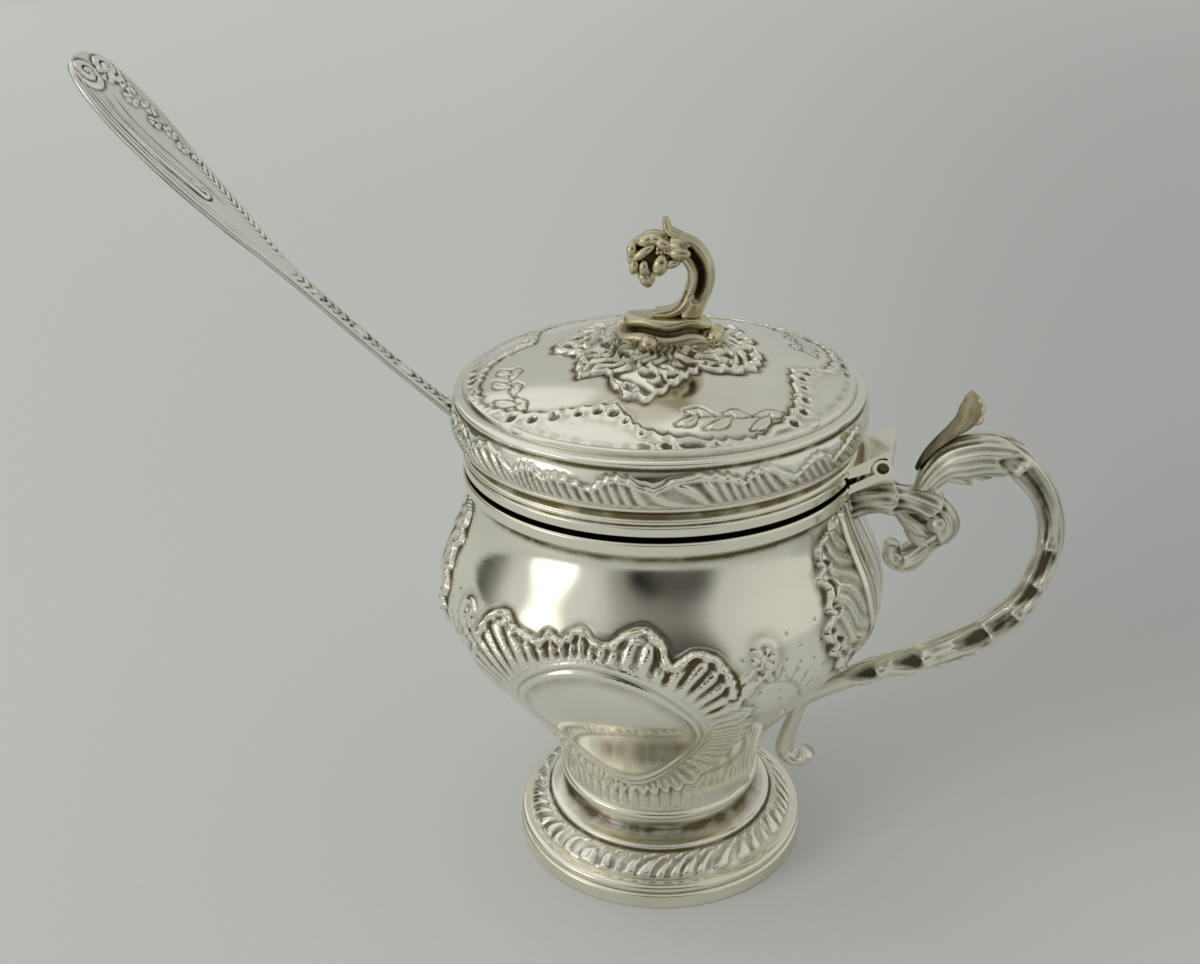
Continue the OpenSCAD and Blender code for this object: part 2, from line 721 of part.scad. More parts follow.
module handle_thumb_leaf() {
    low = on_scroll(2, 0.45);
    middle = on_scroll(4, 0.5);
    path = [
        [low[0], low[1], 0.35, 0.9], [middle[0], middle[1], 0.5, 1.6], [thumb_foot[0], thumb_foot[1], 0.55, 2.2],
        [thumb_foot[0] + 2.05, thumb_foot[1] + 0.315 * thumb_h, 0.9, 2.4],
        [thumb_foot[0] + 3.4, thumb_foot[1] + 0.557 * thumb_h, 1.2, 2.5],
        [thumb_foot[0] + 3.75, thumb_foot[1] + 0.743 * thumb_h, 1.15, 2.4],
        [thumb_foot[0] + 3.8, thumb_foot[1] + 0.914 * thumb_h, 0.85, 1.9],
        [thumb_foot[0] + 3.85, thumb_foot[1] + 1.07 * thumb_h, 0.5, 1.2],
        [thumb_foot[0] + 3.9, thumb_foot[1] + 1.2 * thumb_h, 0.2, 0.5]
    ];
    color(CAST_SILVER) casting(smooth(path, 3), 12);
}

// Finial

finial_seat_z = dome_z + dome_h + seat_gap;
finial_top_z = finial_seat_z + finial_base_h;

// Ring of a leafy casting round the Z axis, with lobes
function lobed_ring(r, z, lobes, depth, turn, sides) =
    [for (j = [0 : sides - 1])
        let (a = -360 * j / sides, d = r * (1 + depth * cos(lobes * a + turn)))
        [d * cos(a), d * sin(a), z]];

// The same ring set off towards the handle and lifted off the dome, whose shape it follows
function dome_ring(r, lift, depth, turn) =
    [for (p = lobed_ring(r, 0, 8, depth, turn, 48))
        let (q = [p[0] + finial_shift, finial_base_share * p[1]])
        [q[0], q[1], dome_top(norm(q)) + seat_gap + lift]];

finial_shift = 1.2;
module finial_base() {
    r = finial_base_r;
    h = finial_base_h;
    lobe = 0.09;
    rings = [
        dome_ring(0.15 * r, 0, 0, 0), dome_ring(0.5 * r, 0, 0, 0), dome_ring(0.96 * r, 0, lobe, 0),
        dome_ring(r, 0.22 * h, lobe, 0), dome_ring(0.95 * r, 0.42 * h, lobe, 0),
        dome_ring(0.78 * r, 0.5 * h, 0.5 * lobe, 0), dome_ring(0.8 * r, 0.66 * h, 0.5 * lobe, 180),
        dome_ring(0.8 * r, 0.86 * h, 0.5 * lobe, 180)
    ];
    top = [for (p = lobed_ring(0.7 * r, finial_top_z, 8, 0, 0, 48))
        [p[0] + finial_shift, finial_base_share * p[1], p[2]]];
    color(CAST_SILVER) skin(concat(rings, [top]));
}

// Curled stem: leans out towards the handle, then rolls over towards the spoon
stem_end = [2, finial_top_z + 0.91 * finial_stem_h];
module finial_stem() {
    foot_z = finial_top_z + seat_gap;
    h = finial_stem_h;
    path = [
        [4.6, foot_z, 1.7, 1.8], [5.2, foot_z + 0.17 * h, 1.9, 2], [6.2, foot_z + 0.43 * h, 2, 2.2],
        [6.1, foot_z + 0.63 * h, 2, 2.2], [4.9, foot_z + 0.8 * h, 2, 2.2],
        [3.4, foot_z + 0.89 * h, 1.8, 2.1], [stem_end[0], stem_end[1], 1.5, 1.8]
    ];
    color(CAST_SILVER) casting(smooth(path, 4), 12, [-1, 0]);
}

// Five-lobed flower at the stem's end, hanging towards the spoon
module finial_flower() {
    tilt = -140;
    length = 1.94 * flower_r;
    sides = 40;
    stations = [[0, 0.34], [0.12, 0.58], [0.4, 1], [0.7, 0.92], [0.92, 0.6], [1, 0.25]];
    rings = [for (s = stations) lobed_ring(s[1] * flower_r, s[0] * length, 5, 0.1, 90, sides)];
    color(CAST_SILVER)
        translate([stem_end[0] - 1.1, 0, stem_end[1] - 0.3]) rotate([0, tilt, 0]) skin(rings);
}

module finial_screw() {
    head_h = 1.3;
    head_r = 2 * screw_r;
    inside = dome_top(head_r) - sheet - screw_fit;
    color(CAST_SILVER) union() {
        translate([0, 0, inside - head_h]) cylinder(r = head_r, h = head_h);
        translate([0, 0, inside - head_h]) cylinder(r = screw_r, h = finial_seat_z - inside + head_h - screw_fit / 2);
    }
}

// Spoon

spoon_dir = [-cos(spoon_slope), sin(spoon_slope)];
spoon_up = [sin(spoon_slope), cos(spoon_slope)];
spoon_rest = [-collar_in_r, collar_z] + (stem_t / 2 + spoon_clear) * spoon_up;
spoon_l = spoon_out + spoon_in;

// Stations from the terminal's tip to the bowl's tip:
// distance, half-width, half-thickness, sag below the stem's line, rise of the edges
spoon_stations = [
    [0, 1.6, 0.4, -0.5, 0],
    [1.6, 0.35 * terminal_w, 0.5, -0.3, 0],
    [6, 0.47 * terminal_w, 0.65, 0.1, -0.2],
    [13, 0.5 * terminal_w, 0.7, 0.7, -0.3],
    [23, 0.42 * terminal_w, 0.7, 1.6, -0.25],
    [33, 0.31 * terminal_w, 0.65, 2.1, -0.1],
    [40, 0.2 * terminal_w, 0.6, 2.3, 0],
    [47, 0.58 * stem_w, stem_t / 2, 2.2, 0],
    [64, 0.5 * stem_w, stem_t / 2, 1.4, 0],
    [76, 0.5 * stem_w, stem_t / 2, 0.4, 0],
    [spoon_out, 0.5 * stem_w, stem_t / 2, 0, 0],
    [spoon_l - bowl_l - 8, 0.5 * stem_w, stem_t / 2, 0, 0],
    [spoon_l - bowl_l, 0.8 * stem_w, 0.6, 0.2 * bowl_depth, 0.1 * bowl_depth],
    [spoon_l - 0.78 * bowl_l, 0.38 * bowl_w, 0.5, 0.75 * bowl_depth, 0.7 * bowl_depth],
    [spoon_l - 0.5 * bowl_l, 0.5 * bowl_w, 0.45, bowl_depth, bowl_depth],
    [spoon_l - 0.22 * bowl_l, 0.42 * bowl_w, 0.45, 0.8 * bowl_depth, 0.75 * bowl_depth],
    [spoon_l - 0.05 * bowl_l, 0.22 * bowl_w, 0.4, 0.25 * bowl_depth, 0.2 * bowl_depth],
    [spoon_l, 0.08 * bowl_w, 0.35, 0, 0]
];

module mustard_spoon() {
    across = 8;
    rings = [for (s = smooth(spoon_stations, 3))
        let (
            place = spoon_rest + (spoon_out - s[0]) * spoon_dir,
            top = [for (i = [0 : across]) 2 * i / across - 1],
            bottom = reversed(top),
            profile = concat(
                [for (v = top) [v, s[4] * v * v - s[3] + s[2] * sqrt(1 - 0.84 * v * v)]],
                [for (v = bottom) [v, s[4] * v * v - s[3] - s[2] * sqrt(1 - 0.84 * v * v)]]
            )
        )
        [for (q = profile)
            [place[0] + q[1] * spoon_up[0], q[0] * s[1], place[1] + q[1] * spoon_up[1]]]];
    color(SILVER) skin(rings);
}

foot_rim();
foot_dome();
neck_ring();
body_shell();
body_collar();
glass_liner();
hinge_lower_leaf();
hinge_pin();
handle_scroll();
handle_thumb_leaf();
handle_bracket();
lid_bezel();
lid_band();
lid_dome();
hinge_upper_leaf();
finial_base();
finial_stem();
finial_flower();
finial_screw();
mustard_spoon();
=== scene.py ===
# %% [markdown]
# # A chased silver mustard pot
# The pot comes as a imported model: plain solids, each in its right place, on three moving bodies.
# This lesson keeps those places and adds what a silversmith adds after turning and casting:
# chased borders, leaves and flowers, and then the polish and the patina of long use.
# Lengths in the helpers are millimetres. Only the last step of each mesh turns them into metres.

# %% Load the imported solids
import json
import math
import bpy
import numpy as np
from mathutils import Matrix, Vector

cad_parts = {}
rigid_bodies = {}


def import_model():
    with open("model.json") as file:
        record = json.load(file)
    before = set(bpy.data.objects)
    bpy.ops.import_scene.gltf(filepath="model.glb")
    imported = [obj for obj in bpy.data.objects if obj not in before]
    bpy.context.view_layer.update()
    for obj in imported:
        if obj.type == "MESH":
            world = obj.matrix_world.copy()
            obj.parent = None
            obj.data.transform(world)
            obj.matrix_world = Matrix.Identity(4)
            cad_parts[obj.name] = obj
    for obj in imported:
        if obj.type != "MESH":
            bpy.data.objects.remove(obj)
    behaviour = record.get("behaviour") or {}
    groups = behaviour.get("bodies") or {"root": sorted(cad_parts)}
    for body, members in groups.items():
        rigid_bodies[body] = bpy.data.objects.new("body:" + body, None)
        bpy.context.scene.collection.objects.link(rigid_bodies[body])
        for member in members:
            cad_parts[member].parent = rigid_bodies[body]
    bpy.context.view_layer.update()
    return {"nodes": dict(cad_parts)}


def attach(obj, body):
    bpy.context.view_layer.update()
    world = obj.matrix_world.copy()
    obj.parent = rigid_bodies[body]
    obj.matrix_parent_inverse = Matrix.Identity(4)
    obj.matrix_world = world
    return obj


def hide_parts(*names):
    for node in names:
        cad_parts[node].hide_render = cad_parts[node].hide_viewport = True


for spare in list(bpy.data.objects):
    bpy.data.objects.remove(spare)
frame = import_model()
solids = frame["nodes"]
print("solids:", len(solids))

# %% [markdown]
# ## The camera
# The pot is seen from the front, a little to the handle's side, and from above.
# A camera can be aimed with a Track To constraint, but a slight tilt of the picture is easier to set
# by building the matrix from three directions: right, up and back.

# %% Camera
MM = 0.001
CAMERA_PLACE = (41.58, -195.63, 155.8)
YAW, PITCH, TILT = (math.radians(angle) for angle in (-14.63, 24.73, -1.21))
ahead = Vector((math.sin(YAW) * math.cos(PITCH), math.cos(YAW) * math.cos(PITCH), -math.sin(PITCH)))
level = Vector((math.cos(YAW), -math.sin(YAW), 0))
above = level.cross(ahead)
right = math.cos(TILT) * level + math.sin(TILT) * above
up = math.cos(TILT) * above - math.sin(TILT) * level
camera = bpy.data.objects.new("camera", bpy.data.cameras.new("camera"))
camera.data.sensor_fit = "HORIZONTAL"
camera.data.sensor_width = 36
camera.data.lens = 42.48
camera.data.clip_start = 0.01
turned_axes = Matrix((right, up, -ahead)).transposed().to_4x4()
camera.matrix_world = Matrix.Translation(Vector(CAMERA_PLACE) * MM) @ turned_axes
bpy.context.scene.collection.objects.link(camera)
bpy.context.scene.camera = camera
bpy.context.scene.view_settings.view_transform = "Standard"
print("camera at", tuple(round(value, 4) for value in camera.location))

# %% [markdown]
# ## Node helpers
# Every material below is a small tree of nodes. A few helpers keep the code short: they add a node, join two
# sockets, and build the steps that come back often, such as a sum, a mix of two colours or a noise.
# Where a helper takes a value, it can be a number, a colour or another node's output.

# %% Adding and joining nodes
def add(tree, kind, inputs=None, **options):
    made = tree.nodes.new(kind)
    for key, value in options.items():
        setattr(made, key, value)
    for key, value in (inputs or {}).items():
        feed(tree, value, made.inputs[key])
    return made


def feed(tree, value, socket):
    if isinstance(value, bpy.types.NodeSocket):
        tree.links.new(value, socket)
    else:
        socket.default_value = value


def object_place(tree):
    return add(tree, "ShaderNodeTexCoord").outputs["Object"]


print("nodes can be added")

# %% Steps that come back often
def math_node(tree, operation, first, second, clamp=False):
    return add(tree, "ShaderNodeMath", {0: first, 1: second}, operation=operation, use_clamp=clamp).outputs[0]


def mapped(tree, value, limits, way="LINEAR"):
    made = add(tree, "ShaderNodeMapRange", {"Value": value, **limits}, interpolation_type=way)
    return made.outputs["Result"]


# A Mix node has sockets for every kind of value. Inputs 6 and 7 are its two colours, output 2 is their mix.
def mixed(tree, share, first, second):
    return add(tree, "ShaderNodeMix", {0: share, 6: first, 7: second}, data_type="RGBA").outputs[2]


def noise(tree, place, scale, detail, roughness=0.5):
    inputs = {"Vector": place, "Scale": scale, "Detail": detail, "Roughness": roughness}
    return add(tree, "ShaderNodeTexNoise", inputs).outputs["Fac"]


def ramp(tree, value, first, last, places=(0, 1)):
    made = add(tree, "ShaderNodeValToRGB", {"Fac": value})
    for element, colour, place in zip(made.color_ramp.elements, (first, last), places):
        element.color = (*colour, 1)
        element.position = place
    return made.outputs["Color"]


print("node steps ready")

# %% [markdown]
# ## Floor and room
# Silver shows its surroundings, so the room matters as much as the metal. The floor is one wide pale sheet of
# paper, with painted shade that turns it greyer towards the back on the handle's side.
# A faint glow far off keeps it pale there.
# The room is the world: pale all round, with lighter and darker places that have soft edges, such as a window
# and the dim side behind the camera.
# They could be painted cards, but cards would stand in the way of other views.

# %% Floor
FLOOR_LEVEL = -0.00002


def floor_sheet(radius, sides):
    angles = np.linspace(0, 2 * np.pi, sides, endpoint=False)
    ring = [(radius * math.cos(a), radius * math.sin(a), FLOOR_LEVEL) for a in angles]
    mesh = bpy.data.meshes.new("floor")
    mesh.from_pydata(ring, [], [tuple(range(sides))])
    sheet = bpy.data.objects.new("floor", mesh)
    bpy.context.scene.collection.objects.link(sheet)
    return sheet


floor = floor_sheet(8, 64)
print("floor across", round(floor.dimensions.x, 2), "m")

# %% Paper of the floor
PAPER_IN_PAINTED_SHADE = (0.57, 0.58, 0.575, 1)
paper = bpy.data.materials.new("pale_paper")
paper.use_nodes = True
tree = paper.node_tree
surface = tree.nodes["Principled BSDF"]
place = object_place(tree)
fibre = ramp(tree, noise(tree, place, 900, 3), (0.715, 0.73, 0.715), (0.745, 0.76, 0.745))
# Painted shade: the paper's colour turns greyer towards the back on the handle's side.
split = add(tree, "ShaderNodeSeparateXYZ", {"Vector": place})
aside = math_node(tree, "SUBTRACT", split.outputs["X"], 0.04)
behind = math_node(tree, "ADD", split.outputs["Y"], 0.2)
slant = math_node(tree, "DIVIDE", aside, behind)
to_right = mapped(tree, slant, {"From Min": -0.35, "From Max": 0.17}, "SMOOTHSTEP")
to_back = mapped(tree, split.outputs["Y"], {"From Min": -0.05, "From Max": 0.1}, "SMOOTHSTEP")
corner = math_node(tree, "MULTIPLY", to_right, to_back)
feed(tree, mixed(tree, corner, fibre, PAPER_IN_PAINTED_SHADE), surface.inputs["Base Color"])
surface.inputs["Roughness"].default_value = 0.9
surface.inputs["Specular IOR Level"].default_value = 0.1
away = add(tree, "ShaderNodeVectorMath", {0: place}, operation="LENGTH").outputs["Value"]
far = mapped(tree, away, {"From Min": 0.2, "From Max": 1.5, "To Max": 0.12})
ray = add(tree, "ShaderNodeLightPath").outputs
seen = math_node(tree, "ADD", ray["Is Camera Ray"], ray["Is Glossy Ray"])
seen = math_node(tree, "ADD", seen, ray["Is Transmission Ray"], True)
surface.inputs["Emission Color"].default_value = (0.95, 0.98, 0.95, 1)
feed(tree, math_node(tree, "MULTIPLY", far, seen), surface.inputs["Emission Strength"])
floor.data.materials.append(paper)
print("paper nodes:", len(tree.nodes))

# %% [markdown]
# ## Places in the room
# Each place has a direction, an inner and an outer angle in degrees between which it fades out, and a colour.
# The first two are pale walls and the next four are dark, three of them in front of the pot.
# The bright one is the window that the silver shows, and the last is a dim warm patch high up at the back.

# %% Room
ROOM_PLACES = [
    ((0.97, 0.1, 0.2), 10, 65, (0.6, 0.6, 0.57)),
    ((-0.72, -0.62, 0.2), 12, 38, (0.62, 0.62, 0.6)),
    ((-0.95, 0.3, 0.02), 8, 34, (0.09, 0.088, 0.075)),
    ((0.2, -0.96, 0.12), 8, 34, (0.17, 0.165, 0.145)),
    ((0.12, -0.98, 0.1), 6, 16, (0.02, 0.02, 0.017)),
    ((0.42, -0.9, 0.06), 5, 24, (0.08, 0.077, 0.068)),
    ((-0.75, -0.66, 0.05), 5, 18, (2.1, 2.05, 1.9)),
    ((-0.19, 0.615, 0.766), 7, 10, (0.25, 0.225, 0.16)),
]
room = bpy.data.worlds.new("room")
bpy.context.scene.world = room
room.use_nodes = True
tree = room.node_tree
tree.nodes.clear()
looking = add(tree, "ShaderNodeTexCoord").outputs["Generated"]
split = add(tree, "ShaderNodeSeparateXYZ", {"Vector": looking})
lift = mapped(tree, split.outputs["Z"], {"From Min": -1, "From Max": 1})
tone = ramp(tree, lift, (0.44, 0.445, 0.43), (0.5, 0.5, 0.48), (0.45, 0.95))
for towards, inner, outer, colour in ROOM_PLACES:
    pair = {0: looking, 1: Vector(towards).normalized()}
    facing = add(tree, "ShaderNodeVectorMath", pair, operation="DOT_PRODUCT").outputs["Value"]
    limits = {"From Min": math.cos(math.radians(outer)), "From Max": math.cos(math.radians(inner))}
    tone = mixed(tree, mapped(tree, facing, limits, "SMOOTHSTEP"), tone, (*colour, 1))
sky = add(tree, "ShaderNodeBackground", {"Color": tone, "Strength": 1})
add(tree, "ShaderNodeOutputWorld", {"Surface": sky.outputs["Background"]})
print("room nodes:", len(tree.nodes))

# %% [markdown]
# ## Lamps
# One soft window of light stands to the left and in front. It gives the soft shadow to the right of the foot,
# and it is hidden from reflections, because the silver shows the room's bright place instead.
# A wide lamp above lights the floor and the top of the lid.

# %% Lamps
def soft_window(name, position, target, width, tall, watts):
    lamp = bpy.data.objects.new(name, bpy.data.lights.new(name, "AREA"))
    lamp.data.shape = "RECTANGLE"
    lamp.data.size = width
    lamp.data.size_y = tall
    lamp.data.energy = watts
    lamp.location = position
    lamp.rotation_euler = (Vector(target) - Vector(position)).to_track_quat("-Z", "Y").to_euler()
    bpy.context.scene.collection.objects.link(lamp)
    return lamp


window = soft_window("window", (-0.63, -0.57, 0.27), (0, 0, 0.06), 0.42, 0.18, 0.45)
overhead = soft_window("overhead", (-0.75, 0.15, 0.95), (0, 0, 0), 1.75, 1.75, 2.75)
window.data.spread = math.radians(90)
window.visible_glossy = False
print("lamps:", window.data.energy, "W and", overhead.data.energy, "W")

# %% [markdown]
# ## Shared finishes as node groups
# Old silver shows the same few effects everywhere: a warm brown film that stays in the hollows, the fine
# streaks of hand polishing, and punched matting on chased grounds.
# The film's group also paints near-black shade into gaps.
# Each is a node group, built once and placed in each metal with its own values.

# %% Start of a node group
VALUE = "NodeSocketFloat"
COLOUR = "NodeSocketColor"


def start_group(name, inputs, outputs):
    group = bpy.data.node_groups.new(name, "ShaderNodeTree")
    for label, kind, value in inputs:
        group.interface.new_socket(name=label, in_out="INPUT", socket_type=kind).default_value = value
    for label, kind in outputs:
        group.interface.new_socket(name=label, in_out="OUTPUT", socket_type=kind)
    return group, add(group, "NodeGroupInput").outputs, add(group, "NodeGroupOutput").inputs


print("groups can be started")

# %% Patina in hollows and painted shade in gaps
# A hollow up to 1 takes the film. Beyond 1 it is a gap that no light reaches,
# and it is painted nearly black as painted shade.
DARK_GAP = (0.006, 0.005, 0.004, 1)
patina_and_gap_shade_nodes, given, result = start_group(
    "patina_and_painted_gap_shade",
    [
        ("Hollow", VALUE, 0), ("Strength", VALUE, 1), ("Haze", VALUE, 0.1),
        ("Clean", COLOUR, (0.93, 0.92, 0.88, 1)), ("Film", COLOUR, (0.3, 0.24, 0.13, 1)),
    ],
    [("Colour", COLOUR), ("Dulling", VALUE)],
)
place = object_place(patina_and_gap_shade_nodes)
limits = {"From Min": 0.35, "From Max": 0.65, "To Min": 0.6, "To Max": 1.15}
uneven = mapped(patina_and_gap_shade_nodes, noise(patina_and_gap_shade_nodes, place, 240, 4, 0.6), limits)
cloud = mapped(patina_and_gap_shade_nodes, noise(patina_and_gap_shade_nodes, place, 42, 3, 0.55), {"From Min": 0.4, "From Max": 0.7})
deep = math_node(patina_and_gap_shade_nodes, "MULTIPLY", given["Hollow"], given["Strength"])
deep = math_node(patina_and_gap_shade_nodes, "MULTIPLY", deep, uneven)
veil = math_node(patina_and_gap_shade_nodes, "MULTIPLY", cloud, given["Haze"])
share = math_node(patina_and_gap_shade_nodes, "ADD", deep, veil, True)
tint = mixed(patina_and_gap_shade_nodes, share, given["Clean"], given["Film"])
gap = math_node(patina_and_gap_shade_nodes, "SUBTRACT", given["Hollow"], 1, True)
feed(patina_and_gap_shade_nodes, mixed(patina_and_gap_shade_nodes, gap, tint, DARK_GAP), result["Colour"])
feed(patina_and_gap_shade_nodes, math_node(patina_and_gap_shade_nodes, "MULTIPLY", share, 0.3), result["Dulling"])
print("group:", patina_and_gap_shade_nodes.name)

# %% Streaks of hand polishing
hand_polish, given, result = start_group(
    "hand_polish",
    [("Smoothest", VALUE, 0.1), ("Roughest", VALUE, 0.2), ("Fineness", VALUE, 500)],
    [("Roughness", VALUE), ("Height", VALUE)],
)
wiping = {"Vector": object_place(hand_polish), "Rotation": (0.3, 0.2, 0.4), "Scale": (0.35, 0.35, 2.2)}
wiped = add(hand_polish, "ShaderNodeMapping", wiping).outputs["Vector"]
streaks = noise(hand_polish, wiped, given["Fineness"], 7, 0.7)
limits = {"From Min": 0.3, "From Max": 0.7, "To Min": given["Smoothest"], "To Max": given["Roughest"]}
feed(hand_polish, mapped(hand_polish, streaks, limits), result["Roughness"])
feed(hand_polish, streaks, result["Height"])
print("group:", hand_polish.name)

# %% Punched matting
punched_matting, given, result = start_group(
    "punched_matting",
    [("Mask", VALUE, 0), ("Dots", VALUE, 2200)],
    [("Height", VALUE), ("Dulling", VALUE)],
)
punches = {"Vector": object_place(punched_matting), "Scale": given["Dots"]}
dots = add(punched_matting, "ShaderNodeTexVoronoi", punches).outputs["Distance"]
pit = mapped(punched_matting, dots, {"From Min": 0.1, "From Max": 0.5})
feed(punched_matting, math_node(punched_matting, "MULTIPLY", pit, given["Mask"]), result["Height"])
feed(punched_matting, math_node(punched_matting, "MULTIPLY", given["Mask"], 0.12), result["Dulling"])
print("group:", punched_matting.name)

# %% [markdown]
# ## The metals
# All the silver is one alloy, but it is finished in different ways: raised sheet is burnished, turned rings
# show polishing streaks, castings keep some grain and hold more patina. One function builds them all.
# The two masks, "hollow" and "matting", are stored on the meshes, because the mesh code knows where it cut.

# %% Metal from the finishes
def placed(tree, group, **values):
    return add(tree, "ShaderNodeGroup", values, node_tree=group)


def silver(name, clean, film, strength, haze, polish, fineness, relief):
    metal = bpy.data.materials.new(name)
    metal.use_nodes = True
    tree = metal.node_tree
    shader = tree.nodes["Principled BSDF"].inputs
    shader["Metallic"].default_value = 1
    hollow = add(tree, "ShaderNodeAttribute", attribute_name="hollow").outputs["Fac"]
    matting = add(tree, "ShaderNodeAttribute", attribute_name="matting").outputs["Fac"]
    colours = {"Clean": (*clean, 1), "Film": (*film, 1)}
    patina = placed(tree, patina_and_gap_shade_nodes, Hollow=hollow, Strength=strength, Haze=haze, **colours).outputs
    wiped = placed(tree, hand_polish, Smoothest=polish[0], Roughest=polish[1], Fineness=fineness).outputs
    punch = placed(tree, punched_matting, Mask=matting).outputs
    feed(tree, patina["Colour"], shader["Base Color"])
    rough = math_node(tree, "ADD", wiped["Roughness"], patina["Dulling"])
    feed(tree, math_node(tree, "ADD", rough, punch["Dulling"], True), shader["Roughness"])
    fine = math_node(tree, "MULTIPLY", wiped["Height"], relief)
    tall = math_node(tree, "ADD", fine, punch["Height"])
    bump = add(tree, "ShaderNodeBump", {"Strength": 0.6, "Distance": 0.00012, "Height": tall})
    feed(tree, bump.outputs["Normal"], shader["Normal"])
    return metal


print("metals can be mixed")

# %% Metals
raised_silver = silver(
    "raised_silver", clean=(0.95, 0.93, 0.825), film=(0.14, 0.113, 0.054), strength=1.15, haze=0.1,
    polish=(0.06, 0.12), fineness=420, relief=0.08,
)
turned_silver = silver(
    "turned_silver", clean=(0.94, 0.915, 0.78), film=(0.2, 0.165, 0.08), strength=1, haze=0.16,
    polish=(0.08, 0.15), fineness=520, relief=0.1,
)
cast_silver = silver(
    "cast_silver", clean=(0.88, 0.86, 0.76), film=(0.115, 0.1, 0.06), strength=1.2, haze=0.3,
    polish=(0.2, 0.34), fineness=900, relief=0.4,
)
finial_silver = silver(
    "finial_silver", clean=(0.77, 0.71, 0.49), film=(0.06, 0.046, 0.014), strength=1.6, haze=0.5,
    polish=(0.09, 0.2), fineness=900, relief=0.45,
)
thumb_silver = silver(
    "thumb_silver", clean=(0.7, 0.64, 0.43), film=(0.07, 0.054, 0.02), strength=1, haze=0.4,
    polish=(0.24, 0.36), fineness=900, relief=0.4,
)
spoon_silver = silver(
    "spoon_silver", clean=(0.93, 0.92, 0.86), film=(0.06, 0.055, 0.04), strength=1.15, haze=0.1,
    polish=(0.08, 0.15), fineness=600, relief=0.1,
)
dark_pin = silver(
    "dark_pin", clean=(0.16, 0.14, 0.1), film=(0.05, 0.04, 0.02), strength=1, haze=0.5,
    polish=(0.3, 0.45), fineness=900, relief=0.4,
)
print("materials so far:", len(bpy.data.materials))

# %% [markdown]
# ## The liner's glass
# Mustard attacks silver, so a glass beaker lies inside. Mould-blown glass is slightly uneven,
# so a broad faint bump bends what is seen through it.

# %% Glass
liner_glass = bpy.data.materials.new("liner_glass")
liner_glass.use_nodes = True
tree = liner_glass.node_tree
shader = tree.nodes["Principled BSDF"].inputs
shader["Transmission Weight"].default_value = 1
shader["IOR"].default_value = 1.5
wave = noise(tree, object_place(tree), 90, 2)
feed(tree, ramp(tree, wave, (0.9, 0.97, 0.96), (0.96, 0.99, 0.985)), shader["Base Color"])
feed(tree, mapped(tree, wave, {"To Min": 0.01, "To Max": 0.06}), shader["Roughness"])
bump = add(tree, "ShaderNodeBump", {"Strength": 0.15, "Distance": 0.0004, "Height": wave})
feed(tree, bump.outputs["Normal"], shader["Normal"])
print("glass:", liner_glass.name)

# %% [markdown]
# ## Soft shapes for chasing
# A chaser works with a few punches: a line that raises a rounded ridge, a round punch that leaves a bead, and
# a planishing punch that lowers the ground. Each is a small function of a distance, and relief is their sum.

# %% Punch shapes
def soft(start, end, value):
    share = np.clip((value - start) / (end - start), 0, 1)
    return share * share * (3 - 2 * share)


def ridge(distance, width):
    return np.exp(-((distance / width) ** 2))


def bead(distance, radius):
    return np.sqrt(np.clip(1 - (distance / radius) ** 2, 0, 1))


def lobes(value, period):
    return np.abs(np.sin(np.pi * value / period))


def waves(value, period):
    return 0.5 + 0.5 * np.cos(2 * np.pi * value / period)


def sway(azimuth, times, start=0):
    return np.sin(np.radians(azimuth * times + start))


print("a bead of radius 1 is", float(bead(0.5, 1)), "high half way out")

# %% Flowing curves
def flowing(points, steps):
    points = np.array(points, float)
    padded = np.vstack([points[:1], points, points[-1:]])
    made = []
    for first, second, third, fourth in zip(padded, padded[1:], padded[2:], padded[3:]):
        for share in np.arange(steps) / steps:
            made.append(0.5 * (
                2 * second + (third - first) * share
                + (2 * first - 5 * second + 4 * third - fourth) * share ** 2
                + (3 * second - first - 3 * third + fourth) * share ** 3
            ))
    return np.vstack([made, points[-1:]])


def bezier(poles, steps):
    first, second, third, fourth = np.array(poles, float)
    share = np.linspace(0, 1, steps + 1)[:, None]
    rest = 1 - share
    middle = 3 * rest ** 2 * share * second + 3 * rest * share ** 2 * third
    return rest ** 3 * first + middle + share ** 3 * fourth


def run_of(points):
    return np.r_[0, np.cumsum(np.linalg.norm(np.diff(points, axis=0), axis=1))]


def arc(centre, radius, start, end, steps):
    angles = np.radians(np.linspace(start, end, steps + 1))
    return np.array(centre) + radius * np.stack([np.cos(angles), np.sin(angles)], 1)


print("curve helpers ready")

# %% Distance from a chased line
NOWHERE_NEAR = 99.0


def from_line(points, across, along, reach=3.0):
    points = np.array(points, float)
    low, high = points.min(0) - reach, points.max(0) + reach
    near = (across > low[0]) & (across < high[0]) & (along > low[1]) & (along < high[1])
    gap = np.full(across.shape, NOWHERE_NEAR)
    share = np.zeros(across.shape)
    x, y = across[near], along[near]
    best = np.full(x.shape, NOWHERE_NEAR)
    where = np.zeros(x.shape)
    for k, (a, b) in enumerate(zip(points, points[1:])):
        step = b - a
        t = np.clip(((x - a[0]) * step[0] + (y - a[1]) * step[1]) / max(step @ step, 1e-9), 0, 1)
        distance = np.hypot(x - a[0] - t * step[0], y - a[1] - t * step[1])
        closer = distance < best
        best[closer] = distance[closer]
        where[closer] = (k + t[closer]) / (len(points) - 1)
    gap[near] = best
    share[near] = where
    return gap, share


print("line distances ready")

# %% [markdown]
# ## From grids to meshes
# Every piece of the pot is either turned, cast along a curve, or both. All of these are grids of points:
# rows along the outline or the curve, columns round it. Blender's Spin or Screw tools could turn an outline,
# but a grid in numpy lets each point be pushed by the relief before the mesh exists, and it is quick.

